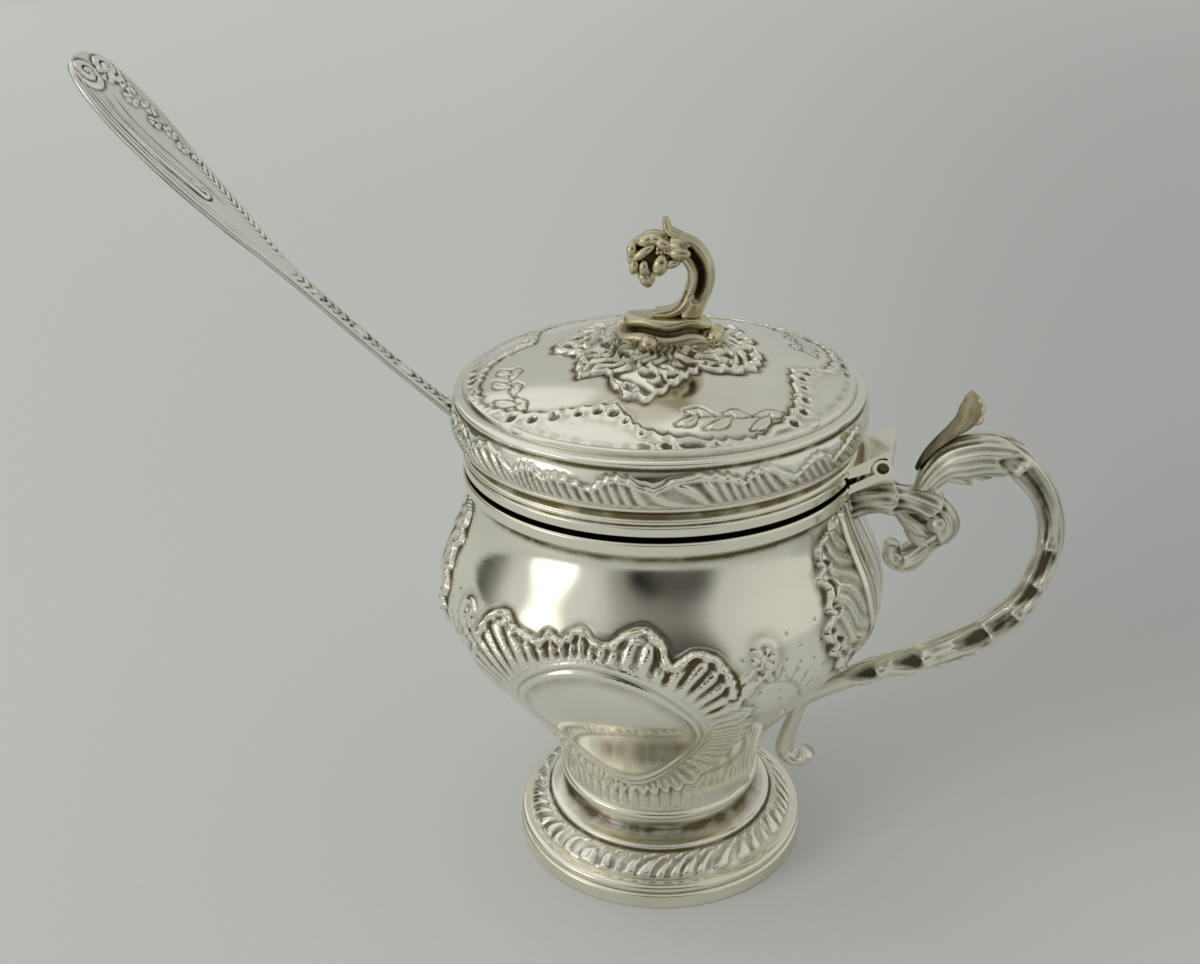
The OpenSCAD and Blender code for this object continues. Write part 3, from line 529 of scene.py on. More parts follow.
# %% Mesh from points and faces
def mesh_piece(name, points, quads, triangles, metal, body, replaced, marks):
    points = np.asarray(points, float)
    triangles = np.asarray(triangles, int).reshape(-1, 3)
    quads = np.asarray(quads, int).reshape(-1, 4)
    halves = np.vstack([quads[:, :3], quads[:, [0, 2, 3]], triangles])
    corner = points[halves]
    volume = np.einsum("ij,ij->i", corner[:, 0], np.cross(corner[:, 1], corner[:, 2])).sum() / 6
    if volume < 0:
        quads = quads[:, ::-1]
        triangles = triangles[:, ::-1]
    mesh = bpy.data.meshes.new(name)
    loops = np.concatenate([quads.ravel(), triangles.ravel()])
    starts = np.concatenate([np.arange(len(quads)) * 4, len(quads) * 4 + np.arange(len(triangles)) * 3])
    mesh.vertices.add(len(points))
    mesh.vertices.foreach_set("co", (points * MM).astype(np.float32).ravel())
    mesh.loops.add(len(loops))
    mesh.loops.foreach_set("vertex_index", loops.astype(np.int32))
    mesh.polygons.add(len(starts))
    mesh.polygons.foreach_set("loop_start", starts.astype(np.int32))
    mesh.update(calc_edges=True)
    mesh.validate()
    mesh.shade_smooth()
    for label, values in marks.items():
        mark = mesh.attributes.new(label, "FLOAT", "POINT")
        mark.data.foreach_set("value", values.astype(np.float32).ravel())
    piece = bpy.data.objects.new(name, mesh)
    bpy.context.scene.collection.objects.link(piece)
    mesh.materials.append(metal)
    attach(piece, body)
    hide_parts(replaced)
    print(name, len(points), "points,", round(abs(volume), 1), "mm3")


print("meshes can be built")

# %% Faces of a grid
def grid_quads(rows, columns, close_rows, close_columns):
    down = np.arange(rows if close_rows else rows - 1)[:, None]
    over = np.arange(columns if close_columns else columns - 1)[None]
    below, beside = (down + 1) % rows, (over + 1) % columns
    here, next_row = down * columns, below * columns
    return np.stack([here + over, here + beside, next_row + beside, next_row + over], -1).reshape(-1, 4)


def cap_fan(ring, centre):
    return np.stack([ring, np.roll(ring, -1), np.full(len(ring), centre)], 1)


def end_caps(rows, columns):
    total = rows * columns
    ring = np.arange(columns)
    return np.vstack([cap_fan(ring[::-1], total), cap_fan(ring + total - columns, total + 1)])


print("grid helpers ready")

# %% Hollows of a relief
def blurred(field, rows, columns):
    for axis, reach in ((0, rows), (1, columns)):
        total = np.zeros_like(field)
        for step in range(-reach, reach + 1):
            if axis:
                total += np.roll(field, step, 1)
            else:
                total += field[np.clip(np.arange(len(field)) + step, 0, len(field) - 1)]
        field = total / (2 * reach + 1)
    return field


def hollows(height, rows=6, columns=6, depth=0.2):
    return np.clip((blurred(height, rows, columns) - height) / depth, 0, 1)


print("hollows ready")

# %% Outlines of turned pieces
def even_outline(points, step, rounding):
    points = np.asarray(points, float)
    run = run_of(points)
    count = max(int(run[-1] / step), 8)
    place = np.linspace(0, run[-1], count + 1)
    made = np.stack([np.interp(place, run, points[:, k]) for k in (0, 1)], 1)
    for _ in range(rounding):
        made[1:-1] = 0.25 * made[:-2] + 0.5 * made[1:-1] + 0.25 * made[2:]
    return made, place


def outline_normals(points):
    along = np.gradient(points, axis=0)
    along /= np.linalg.norm(along, axis=1)[:, None] + 1e-12
    return np.stack([along[:, 1], -along[:, 0]], 1)


def groove_depth(points, step, reach=0.9, depth=0.1):
    width = max(int(reach / step), 2)
    padded = np.vstack([np.repeat(points[:1], width, 0), points, np.repeat(points[-1:], width, 0)])
    kernel = np.ones(2 * width + 1) / (2 * width + 1)
    mean = np.stack([np.convolve(padded[:, k], kernel, "valid") for k in (0, 1)], 1)
    offset = ((mean - points) * outline_normals(points)).sum(1)
    return np.clip(offset / depth, 0, 1)[:, None]


print("outlines ready")

# %% Turned pieces
def round_axis(radius, azimuth, level_z):
    angle = np.radians(azimuth)
    return np.stack([radius * np.cos(angle), radius * np.sin(angle), level_z], -1).reshape(-1, 3)


def turned(
    name, outside, inside, relief, metal, body, replaced, columns, step, under=(), poles=False, film_and_painted_shade=None,
):
    front, run = even_outline(outside, step, 3)
    back = even_outline(inside, 1, 0)[0]
    normal = outline_normals(front)
    azimuth = np.linspace(-180, 180, columns, endpoint=False)[None]
    height, matting = relief(azimuth, run[:, None], front[:, :1])
    section = np.vstack([np.array(under).reshape(-1, 2), front, back])
    start, stop = len(under), len(under) + len(front)
    radius = np.repeat(section[:, :1], columns, 1)
    level_z = np.repeat(section[:, 1:], columns, 1)
    radius[start:stop] += height * normal[:, :1]
    level_z[start:stop] += height * normal[:, 1:]
    hollow = np.zeros_like(radius)
    hollow[start:stop] = np.maximum(hollows(height), groove_depth(front, step))
    # The extra mask darkens further: painted shade in the collar's gap, and a darker dome towards the finial.
    if film_and_painted_shade is not None:
        hollow[start:stop] = np.maximum(hollow[start:stop], film_and_painted_shade(front[:, :1], front[:, 1:]))
        hollow[stop:] = film_and_painted_shade(back[:, :1], back[:, 1:])
    mat = np.zeros_like(radius)
    mat[start:stop] = matting
    points = round_axis(radius, azimuth, level_z)
    marks = {"hollow": hollow, "matting": mat}
    fans = []
    if poles:
        points = np.vstack([points, (0, 0, section[0, 1]), (0, 0, section[-1, 1])])
        fans = end_caps(len(section), columns)
        marks = {label: np.r_[values.ravel(), 0, 0] for label, values in marks.items()}
    quads = grid_quads(len(section), columns, not poles, True)
    mesh_piece(name, points, quads, fans, metal, body, replaced, marks)


def plain(azimuth, run, radius):
    return np.zeros_like(run * azimuth), np.zeros_like(run * azimuth)


print("turning ready")

# %% [markdown]
# ## Foot, neck ring and collar
# The rings are turned from thick sheet, so their outlines are short lists of lines and curves.
# The outline is laid out again in even steps and smoothed a little, which rounds each edge as polishing does.
# The collar's top is painted dark on its inner side, as painted shade
# where the gap under the lid lets no light in.

# %% Foot rim
foot_rim_out = np.vstack([
    [(21.2, 0), (23.9, 0), (24, 0.15), (24, 2.25), (23.75, 2.55)],
    arc((23.04, 3.4), 0.8, -75, 90, 14), [(22.2, 4.2)],
])
foot_rim_in = [(21, 4.2), (21, 0.1)]
turned("foot_rim_turned", foot_rim_out, foot_rim_in, plain, turned_silver, "pot", "foot_rim", 480, 0.12)

# %% Neck ring
neck_ring_out = np.vstack([[(15.6, 11.2)], arc((15.8, 12.1), 0.9, -85, 85, 16), [(15.8, 13)]])
neck_ring_in = [(13.6, 13), (13.6, 11.2)]
turned("neck_ring_turned", neck_ring_out, neck_ring_in, plain, turned_silver, "pot", "neck_ring", 480, 0.1)

# %% Collar
collar_out = [(29.2, 66.3), (30.1, 66.3), (30.2, 66.45), (30.2, 67.9), (29.95, 68.2), (29.2, 68.2)]
collar_in = [(29, 68.1), (29, 66.4)]
# Painted shade: the inner edge of the collar's top and the top of its inside go dark, as in the gap under the
# lid.
turned(
    "collar_turned", collar_out, collar_in, plain, turned_silver, "pot", "body_collar", 480, 0.08,
    film_and_painted_shade=lambda radius, level_z: 1.7 * soft(67.95, 68.15, level_z) * soft(30.05, 29.8, radius),
)

# %% [markdown]
# ## The chased foot
# The foot's slope carries a ring of slanting leaf tips, no two alike, with a dot above each.
# The leaves are worked from both sides, so they stand up in rounded relief against a lower ground.

# %% Foot relief and foot
FOOT_BEAT = 7.2
LEAF_MM = 0.36
DOT_MM = 0.34


def foot_relief(azimuth, run, radius):
    slope = soft(0.5, 1.1, run) * soft(5.1, 4.5, run)
    wander = azimuth + 2.2 * sway(azimuth, 5, 30) + 1.3 * sway(azimuth, 11)
    lean = 1.9 + 1.1 * sway(azimuth, 4)
    slanted = wander - lean * (run - 2.5) - 0.5 * (run - 2.5) ** 2
    number = np.floor(slanted / FOOT_BEAT)
    size = 0.85 + 0.25 * np.sin(1.9 * number)
    aside = np.mod(slanted, FOOT_BEAT) - FOOT_BEAT / 2
    leaf = bead(aside * LEAF_MM, size * np.clip(1.15 - 0.16 * run, 0.3, 1))
    tip = soft(4, 3.3, run + 0.4 * np.abs(aside) + 0.4 * np.sin(2.7 * number))
    vein = ridge(aside * LEAF_MM - 0.1, 0.12) * soft(1, 2, run)
    dot = bead(np.hypot((aside - 1.8) * DOT_MM, run - 4), 0.4 + 0.1 * np.sin(3.3 * number))
    height = slope * (0.36 * leaf * tip - 0.12 * vein * tip + 0.3 * dot - 0.06)
    return height, slope * (1 - leaf * tip) * 0.5


foot_out = np.vstack([
    [(22.2, 4.2)], bezier([(22.2, 4.5), (21.6, 5.9), (20.2, 6.8), (18.8, 7.1)], 30),
    [(18.6, 7.2), (18.6, 7.8)], bezier([(18.3, 7.9), (16.2, 8.1), (15.6, 8.8), (15.6, 9.8)], 20),
    [(15.8, 11.2)],
])
foot_in = np.vstack([
    [(14.9, 11.2)], bezier([(14.7, 9.8), (14.7, 8.4), (14.9, 7.1), (17.1, 6.9)], 8),
    bezier([(17.7, 6.2), (19.4, 5.9), (20.7, 5.2), (21.3, 4.2)], 8),
])
turned("foot_chased", foot_out, foot_in, foot_relief, raised_silver, "pot", "foot_dome", 800, 0.16)

# %% [markdown]
# ## The chased body
# The body is raised from sheet and chased on both sides alike: a bare oval in a fluted shell border with a
# rolled and beaded edge, a small flower scroll on either side of it, and a large leaf under the handle and
# under the spoon.
# The relief is drawn on the unrolled body: across is the distance round it, run the distance up its outline.

# %% Shell border round the oval
OVAL = (-48.9, 24.5)
OVAL_HALF = (13.9, 17)
OVAL_MM = 15
LOWER_EDGE = [(-90, 1.14), (-60, 1.3), (-40, 1.62), (-23, 1.75), (3, 1.56), (20, 1.5)]
FAR_EDGE = [(158, 1.62), (178, 1.55), (203, 1.75), (220, 1.6), (240, 1.3), (270, 1.14)]
RIM = flowing([
    (-67.2, 41.8), (-66.2, 44.5), (-64.4, 46.3), (-62.3, 46.8), (-61, 45.4), (-59, 44.9), (-56.7, 44.7),
    (-55.6, 46.3), (-53.7, 45.5), (-52.1, 47.2), (-50.7, 47.7), (-49.2, 46.3), (-47.3, 46.1), (-46.2, 46.8),
    (-45.3, 47.7), (-43, 48.6), (-41.5, 47.7), (-40.5, 46.4), (-40.1, 44.6), (-39.4, 43.4), (-37.9, 44.3),
    (-36.4, 45.1), (-34.4, 44.5), (-33.4, 43.4), (-32.5, 41.9), (-31.7, 40), (-31.5, 37.9),
], 5)
LIPS = [
    (-61.2, 44.6, 0.8), (-57.2, 43.9, 0.9), (-53.9, 44.6, 0.8), (-48.3, 45.2, 1), (-39.2, 42.6, 0.9),
    (-43.4, 47.2, 0.9), (-63.4, 45.3, 0.9),
]


def round_oval(across, run):
    side, rise = (across - OVAL[0]) / OVAL_HALF[0], (run - OVAL[1]) / OVAL_HALF[1]
    return np.mod(np.degrees(np.arctan2(rise, side)) + 90, 360) - 90, np.hypot(side, rise)


def shell_border(across, run):
    turn, reach = round_oval(across, run)
    rim = np.stack(round_oval(RIM[::-1, 0], RIM[::-1, 1]), 1)
    outline = np.vstack([LOWER_EDGE, rim[np.argsort(rim[:, 0])], FAR_EDGE])
    upper = soft(22, 34, turn) * soft(156, 144, turn)
    wander = turn + 2.4 * sway(turn, 3.3) + 1.5 * sway(turn, 7.1, 40)
    scallop = 0.09 * (1 - upper) * (1 + 0.4 * sway(turn, 4.7)) * (lobes(wander, 9) - 0.5)
    edge = np.interp(turn, *outline.T) + scallop
    inset = (edge - reach) * OVAL_MM
    to_rim, share = from_line(RIM, across, run)
    near = upper * (to_rim < 3)
    inset = np.where(near > 0.5, np.sign(inset) * to_rim, inset)
    band = (reach - 1) * OVAL_MM
    shown = soft(1.3, 1.9, band)
    inside = soft(-0.15, 0.25, inset) * shown
    outward = np.clip((reach - 1.1) / (edge - 1.1), 0, 1)
    flute = waves(wander, 5.6)
    strength = 0.3 + 0.7 * upper
    lip = 0.34 + 0.2 * upper * np.cos(2 * np.pi * (31 * share + 0.4 * np.sin(40 * share))) * (to_rim < 3)
    height = 0.26 * ridge(band, 0.36) + 0.16 * ridge(band - 1.2, 0.3)
    height += inside * (0.05 + 0.32 * outward ** 1.5)
    height += inside * (0.46 * flute - 0.34) * soft(0.02, 0.4, outward) * soft(0.2, 0.9, inset) * strength
    height += shown * strength * (lip * ridge(inset - 0.05, 0.3) - 0.12 * ridge(inset + 0.55, 0.3))
    height -= inside * strength * 0.34 * ridge(inset - 0.95, 0.38)
    for x, y, size in LIPS:
        height += 0.3 * bead(np.hypot(across - x, run - y), size) * shown
    matting = inside * upper * soft(0.7, 1.2, inset) * (1 - 0.8 * flute)
    return height, matting


print("rim is", round(float(run_of(RIM)[-1]), 1), "mm long")

# %% Flower scroll beside the border
SCROLL = flowing([
    (-31.5, 38.5), (-29.4, 40.6), (-27.2, 42.3), (-25.9, 44.2), (-26.3, 46.2), (-27.7, 46.9), (-28.7, 46.1),
], 6)
SPRAY = flowing([(-27, 40.5), (-24, 39.5), (-21.5, 37), (-19.8, 33.5)], 6)
FLOWER = (-27.6, 44.4)
DOTS = (-23.5, 41)


def flower_scroll(across, run):
    gap, share = from_line(SCROLL, across, run)
    height = 0.5 * ridge(gap, 0.42) * soft(0, 0.25, share + 0.1)
    side, rise = across - FLOWER[0], run - FLOWER[1]
    out, turn = np.hypot(side, rise), np.arctan2(rise, side)
    petals = 0.55 * bead(out, 1.7) * (0.55 + 0.45 * np.cos(6 * turn)) * soft(0.2, 0.8, out)
    height = np.maximum(height, petals + 0.4 * bead(out, 0.5))
    for spread in (-1.6, 0, 1.6):
        line = flowing([(-29, 41.5 + spread), (-31, 40 + spread), (-33, 39.2 + 1.4 * spread)], 5)
        leaf, share = from_line(line, across, run)
        height = np.maximum(height, 0.3 * ridge(leaf, 0.5 * np.sin(np.pi * np.clip(share, 0.05, 0.95)) + 0.1))
    cut = 0.16 * ridge(from_line(SPRAY, across, run)[0], 0.2)
    for k in range(9):
        at = SPRAY[2 * k]
        side = 1 if k % 2 else -1
        leaf = from_line([at, at + (0.9 * side, 0.9), at + (1.3 * side, 2.1)], across, run)[0]
        cut = np.maximum(cut, 0.2 * ridge(leaf, 0.22))
    for k in range(26):
        out = 1.1 + 0.34 * k
        x, y = DOTS[0] + out * math.cos(2.4 * k), DOTS[1] + out * math.sin(2.4 * k) * 0.8
        cut = np.maximum(cut, 0.22 * bead(np.hypot(across - x, run - y), 0.26))
    return height - cut


print("scroll length", round(float(run_of(SCROLL)[-1]), 1), "mm")

# %% Leaf at the handle and at the spoon
LEAF_RUN = [24, 28, 32, 36, 40, 43, 47, 51, 55, 57.6]
LEAF_HALF = [0, 4.6, 10.2, 14.3, 16.6, 17.3, 15.8, 16, 14.4, 8.5]
LEAF_BEAT = 3.7


def shell_leaf(across, run, size):
    across = np.abs(across)
    wander = run + 0.5 * np.sin(1.1 * run) - 0.6
    half = size * np.interp(run, LEAF_RUN, LEAF_HALF) + 1.2 * (lobes(wander, LEAF_BEAT) - 0.55)
    inset = half - across
    top = soft(57.8, 57, run)
    inside = soft(-0.2, 0.3, inset) * soft(25, 28, run) * top
    middle = np.clip(across / np.maximum(half, 0.5), 0, 1)
    rib = waves(run - 0.75 * across - 0.018 * across ** 2 + 0.9 * np.sin(0.55 * run + 0.4 * across), 3.3)
    fold = size * np.interp(run, [26, 34, 42, 57], [1.2, 4.2, 6.6, 6])
    height = inside * (0.2 + 0.3 * (1 - middle) + 0.18 * (rib - 0.5) * soft(0.4, 0.55, middle))
    height += inside * (0.55 * ridge(across - fold, 0.6) - 0.3 * ridge(across - fold + 1.4, 0.7))
    height += inside * (0.3 * ridge(across - 0.72 * fold, 0.4) + 0.4 * ridge(across - 0.45 * fold, 0.45))
    height += 0.6 * ridge(inset - 0.35, 0.5) * soft(27, 30, run) * top
    along = np.mod(wander + LEAF_BEAT / 2, LEAF_BEAT) - LEAF_BEAT / 2
    eyelet = np.hypot(along, (inset - 1.6) / 0.8)
    height += inside * soft(30, 34, run) * (0.28 * ridge(eyelet - 1.25, 0.24) - 0.4 * bead(eyelet, 0.95))
    return height, inside * 0.35 * soft(0.4, 0.6, middle)


print("leaf across", 2 * max(LEAF_HALF), "mm")

# %% Body relief and body
UNROLLED_RADIUS = 30
WALL = 0.9


def body_relief(azimuth, run, radius):
    folded = -np.abs(azimuth)
    across = np.radians(folded) * UNROLLED_RADIUS + 0 * run
    run = run + 0 * azimuth
    height, matting = shell_border(across, run)
    bare = np.abs(height) < 0.04
    for beside in (across, 2 * OVAL[0] - across):
        height = height + 0.6 * flower_scroll(beside, run + 1.6) * bare
    for from_middle, size in ((across, 1), (np.radians(folded + 180) * UNROLLED_RADIUS, 0.92)):
        leaf, leaf_mat = shell_leaf(from_middle, run, size)
        height = np.where(np.abs(leaf) > 0.05, leaf, height)
        matting = np.maximum(matting, leaf_mat)
    flutes = lobes(folded, 6)
    base = soft(0.15, -0.15, run - 4.6 - 0.8 * flutes) * soft(0.4, 1, run)
    base = base * 0.8 * soft(48, 26, np.abs(folded + 93.5))
    height = height + base * (0.17 * flutes - 0.06)
    return height * soft(57.9, 57.2, run), matting


body_out = np.vstack([
    [(16.2, 13)], bezier([(16.2, 13), (16.2, 26.5), (34.4, 37.4), (34.4, 47.6)], 90)[1:],
    bezier([(34.4, 47.6), (34.4, 54), (29.5, 58.5), (28.5, 65)], 60)[1:], [(29.4, 66.3)],
])
shrunk = body_out[:-1] - WALL * outline_normals(body_out[:-1])
body_in = np.vstack([[(28.5, 66.3)], shrunk[::-4][:-6], [(15.3, 14.2), (14.9, 13.9), (8, 13.9), (0.5, 13.9)]])
turned(
    "body_chased", body_out, body_in, body_relief, raised_silver, "pot", "body_shell", 840, 0.27,
    under=[(0.5, 13), (15.8, 13)], poles=True,
)

# %% [markdown]
# ## The stepped bezel and the fluted band of the lid
# Both rings are cut through at the spoon's side.
# Blender's Boolean could cut them, but it is slow on a fine mesh.
# Here each row of the ring simply stops at the notch, as wide as the notch is at that height,
# and the two cut faces are closed between the outside and the inside.
# The outer side of the flange under the bezel is painted nearly black as painted shade,
# because it stands in the gap above the collar.

# %% Notched rings
NOTCH_HALF = 2.6
NOTCH_TOP = 78.6


def notch_angle(radius, level_z):
    inside = np.clip(level_z - (NOTCH_TOP - NOTCH_HALF), 0, NOTCH_HALF)
    half = np.sqrt(NOTCH_HALF ** 2 - inside ** 2)
    return np.degrees(np.arcsin(np.clip(half / radius, 0, 1)))


def notched(name, outside, inside, relief, replaced, metal, columns, step):
    front, run = even_outline(outside, step, 2)
    inside = np.asarray(inside, float)
    inner_run = run_of(inside)
    share = np.linspace(0, 1, len(front)) * inner_run[-1]
    back = np.stack([np.interp(share, inner_run, inside[:, k]) for k in (0, 1)], 1)
    normal = outline_normals(front)
    rows, count = len(front), columns + 1
    spread = np.linspace(-1, 1, count)[None]
    sheets = [spread * (180 - notch_angle(outline[:, :1], outline[:, 1:])) for outline in (front, back)]
    height, matting = relief(sheets[0], run[:, None], front[:, :1])
    radius = np.vstack([front[:, :1] + height * normal[:, :1], np.repeat(back[:, :1], count, 1)])
    level_z = np.vstack([front[:, 1:] + height * normal[:, 1:], np.repeat(back[:, 1:], count, 1)])
    points = round_axis(radius, np.vstack(sheets), level_z)
    behind = rows * count
    outer = grid_quads(rows, count, False, False)
    inner = outer[:, ::-1] + behind
    over = np.arange(columns)
    low = np.stack([over + 1, over, over + behind, over + 1 + behind], 1)
    high = low[:, [1, 0, 3, 2]] + (rows - 1) * count
    start = np.arange(rows - 1)[front[:-1, 1] < NOTCH_TOP] * count
    first = np.stack([start, start + count, start + count + behind, start + behind], 1)
    last = first[:, ::-1] + columns
    patina_and_painted_shade = np.maximum(hollows(height), groove_depth(front, step))
    # Painted shade: the flange's outer side in the gap above the collar goes nearly black.
    patina_and_painted_shade = np.maximum(patina_and_painted_shade, 2 * soft(69.12, 69, front[:, 1:]) * soft(28.3, 28.45, front[:, :1]))
    bare = np.zeros((rows, count))
    marks = {"hollow": np.vstack([patina_and_painted_shade, bare]), "matting": np.vstack([matting, bare])}
    quads = np.vstack([outer, inner, low, high, first, last])
    mesh_piece(name, points, quads, [], metal, "lid", replaced, marks)


print("notch is", round(float(2 * notch_angle(30, 74)), 1), "degrees wide")

# %% Bezel
bezel_out = np.vstack([
    [(27.7, 67.4), (28.5, 67.4), (28.5, 69), (29.85, 69), (30, 69.15), (30, 70.4), (29.65, 70.75)],
    arc((29.7, 71.3), 0.42, -60, 60, 10), [(29.6, 71.85)],
    bezier([(29.6, 72), (29.6, 72.7), (30.2, 72.8), (30.5, 73.2)], 10), [(30.5, 73.6)],
])
bezel_in = [(27.6, 67.4), (27.7, 69.9), (28.6, 70), (28.6, 72.2), (29.6, 73.6)]
notched("bezel_turned", bezel_out, bezel_in, plain, "lid_bezel", turned_silver, 480, 0.12)

# %% Fluted band
BAND_BEAT = 15
FLAME_BEAT = 3


def band_relief(azimuth, run, radius):
    run = run + 0 * azimuth
    wander = azimuth + 4.2 * sway(azimuth, 3, 20) + 2.4 * sway(azimuth, 7) + 1.3 * sway(azimuth, 13, 50)
    crest = 2.9 + 1.5 * lobes(wander, BAND_BEAT) ** 0.7
    crest = crest + 0.5 * sway(azimuth, 5, 70) + 0.35 * sway(azimuth, 19)
    lean = 1.3 + 0.7 * sway(azimuth, 2, 100)
    fan = wander + lean * (run - 3)
    flame = ridge(np.mod(fan + FLAME_BEAT / 2, FLAME_BEAT) - FLAME_BEAT / 2, 0.62)
    inset = crest + 0.3 * flame - run
    inside = soft(-0.15, 0.3, inset) * soft(0.1, 1, run)
    height = inside * (0.36 * flame * soft(0.2, 1.1, inset) - 0.16)
    edge = (0.2 + 0.2 * flame) * ridge(inset - 0.15, 0.36) - 0.1 * ridge(inset + 0.55, 0.3)
    height = height + soft(0.3, 1.2, run) * edge
    by_hinge, by_notch = soft(7, 16, np.abs(azimuth)), soft(178, 174, np.abs(azimuth))
    return height * by_hinge * by_notch, inside * (1 - 0.8 * flame)


band_out = np.vstack([
    [(30.5, 73.6)], bezier([(30.5, 73.7), (31.7, 75.2), (31.7, 77.8), (30.6, 79.4)], 30),
    arc((30.4, 80), 0.5, -50, 60, 8), [(29.9, 80.6)],
])
band_in = np.vstack([
    [(29.6, 73.6)], bezier([(29.6, 73.7), (30.8, 75.2), (30.8, 77.8), (28.9, 80.5)], 20), [(28.9, 80.6)],
])
notched("band_chased", band_out, band_in, band_relief, "lid_band", raised_silver, 840, 0.17)

# %% [markdown]
# ## The chased dome of the lid
# Round the finial lies a rosette of ragged leaves with pierced-looking eyes. Near the edge runs a wave of
# shell work that comes in four times, and between its waves leafy sprays are engraved with a graver.
# The dome is drawn in plan, because chasing on a flat lid is laid out with a compass.

# %% Rosette of the dome
ROSETTE = np.array([
    (0, 15), (12, 12.6), (24, 14.4), (36, 12.2), (48, 15.2), (60, 12.4), (74, 14.6), (90, 17), (105, 13),
    (120, 15.4), (135, 12.2), (150, 14.6), (165, 13.2), (180, 15), (195, 15.4), (206, 13), (216, 12),
    (228, 14.4), (238, 16), (247, 12.8), (256, 15.2), (266, 18), (277, 18.8), (288, 15.4), (300, 12.8),
    (312, 11.6), (325, 14.4), (340, 16), (360, 15),
])


def rosette(turn, radius):
    ragged = 0.8 * (lobes(turn + 3 * sway(turn, 5), 9) - 0.6)
    inset = np.interp(turn, *ROSETTE.T) + ragged - radius
    inside = soft(-0.2, 0.3, inset)
    angle = np.radians(turn)
    vein = waves(turn + 7 * np.sin(0.55 * radius + 3 * angle) + 4 * np.sin(1.3 * radius - 5 * angle), 13)
    height = inside * (0.2 + 0.6 * soft(0, 7, inset) + 0.55 * (vein - 0.55) * soft(0.4, 1.6, inset))
    height += 0.5 * ridge(inset - 0.35, 0.4) - 0.12 * ridge(inset + 0.5, 0.3)
    x, y = radius * np.cos(angle), radius * np.sin(angle)
    for k in range(22):
        towards = math.radians(16.4 * k + 6 * math.sin(1.7 * k))
        out = np.interp(math.degrees(towards) % 360, *ROSETTE.T) - (1.9, 5)[k % 2] - 0.5 * math.sin(2.3 * k)
        spot = np.hypot(x - out * math.cos(towards), y - out * math.sin(towards))
        size = 1 + 0.25 * math.sin(3.1 * k)
        height += 0.3 * ridge(spot - size - 0.3, 0.3) - 0.8 * bead(spot, size)
    return height, inside * soft(0.8, 1.6, inset) * 0.6 * (1 - vein)


print("rosette out to", ROSETTE[:, 1].max(), "mm")

# %% Wave at the dome's edge
FIRST_WAVE = 265
WAVE_EVERY = 90
WAVE = np.array([
    (-45, 28.3), (-35, 26.9), (-25, 25.3), (-15, 22.8), (-6, 20.8), (0, 20.4), (5, 22), (9, 24), (16, 25.7),
    (24, 26.6), (34, 27.6), (45, 28.3),
])
CELL_BEAT = 6.4


def edge_wave(turn, radius):
    local = np.mod(turn - FIRST_WAVE + WAVE_EVERY / 2, WAVE_EVERY) - WAVE_EVERY / 2
    ragged = turn + 1.2 * sway(turn, 13) + 0.8 * sway(turn, 29)
    depth = radius - np.interp(local, *WAVE.T) - 0.6 * (lobes(ragged, 5.2) - 0.5)
    trim = soft(28.75, 28.3, radius)
    height = soft(-0.15, 0.3, depth) * trim * 0.06
    height += 0.36 * ridge(depth - 0.2, 0.4) * trim - 0.12 * ridge(depth + 0.5, 0.3)
    for place in (-31, -24, -18, -11, -5, 1, 6, 12):
        out = np.interp(place, *WAVE.T) + 1.15 + 0.3 * math.sin(place)
        spot = np.hypot(np.radians(local - place) * out, radius - out)
        size = 0.55 + 0.25 * math.sin(2 * place)
        height += 0.2 * ridge(spot - size - 0.2, 0.22) - 0.32 * bead(spot, size)
    along = np.mod(ragged, CELL_BEAT)
    cell = np.hypot((along - CELL_BEAT / 2) * 0.48 / 1.25, (radius - 27.75 - 0.05 * along) / 0.62)
    chain = soft(0.3, 0.8, depth) * soft(1.5, 1.35, cell) * (0.15 + 0.85 * soft(10, 16, local))
    return height * (1 - chain) + chain * (0.22 * ridge(cell - 1.05, 0.2) - 0.12 * bead(cell, 0.85))


print("wave in to", WAVE[:, 1].min(), "mm")

# %% Sprays and dome
SPRAY_RADIUS = 24
SPRAY_LINE = flowing([(75, 28), (62, 26), (52, 24.6), (42, 23.4), (33, 22.4), (26, 22)], 8)


def leaf_spray(turn, radius):
    across = np.radians(np.mod(turn - FIRST_WAVE, WAVE_EVERY)) * SPRAY_RADIUS
    line = np.stack([np.radians(SPRAY_LINE[:, 0]) * SPRAY_RADIUS, SPRAY_LINE[:, 1]], 1)
    height = -0.14 * ridge(from_line(line, across, radius)[0], 0.17)
    for k in range(1, 8):
        at = line[5 * k - 1]
        side = 1 if k % 2 else -1
        tip = at + np.array((-4 + 0.6 * math.sin(2.1 * k), 1.6 * side))
        leaf, share = from_line([at, 0.5 * (at + tip) + (0, 0.35 * side), tip], across, radius)
        width = 0.58 * np.sin(np.pi * np.clip(share, 0.06, 0.94)) + 0.05
        height = np.where(leaf < 1.6 * width, 0.16 * ridge(leaf, width) - 0.2 * ridge(leaf, 0.13), height)
        height = height - 0.2 * ridge(leaf - 1.5 * width, 0.15)
    return height


def dome_relief(azimuth, run, radius):
    turn = np.mod(azimuth, 360) + 0 * run
    radius = radius + 0 * azimuth
    centre, matting = rosette(turn, radius)
    wave = edge_wave(turn, radius)
    bare = (np.abs(wave) < 0.03) * (np.abs(centre) < 0.03)
    height = centre + wave + leaf_spray(turn, radius) * bare + 0.3 * ridge(radius - 28.9, 0.25)
    return height * soft(29.45, 29.2, radius) * soft(2.5, 4.5, radius), matting


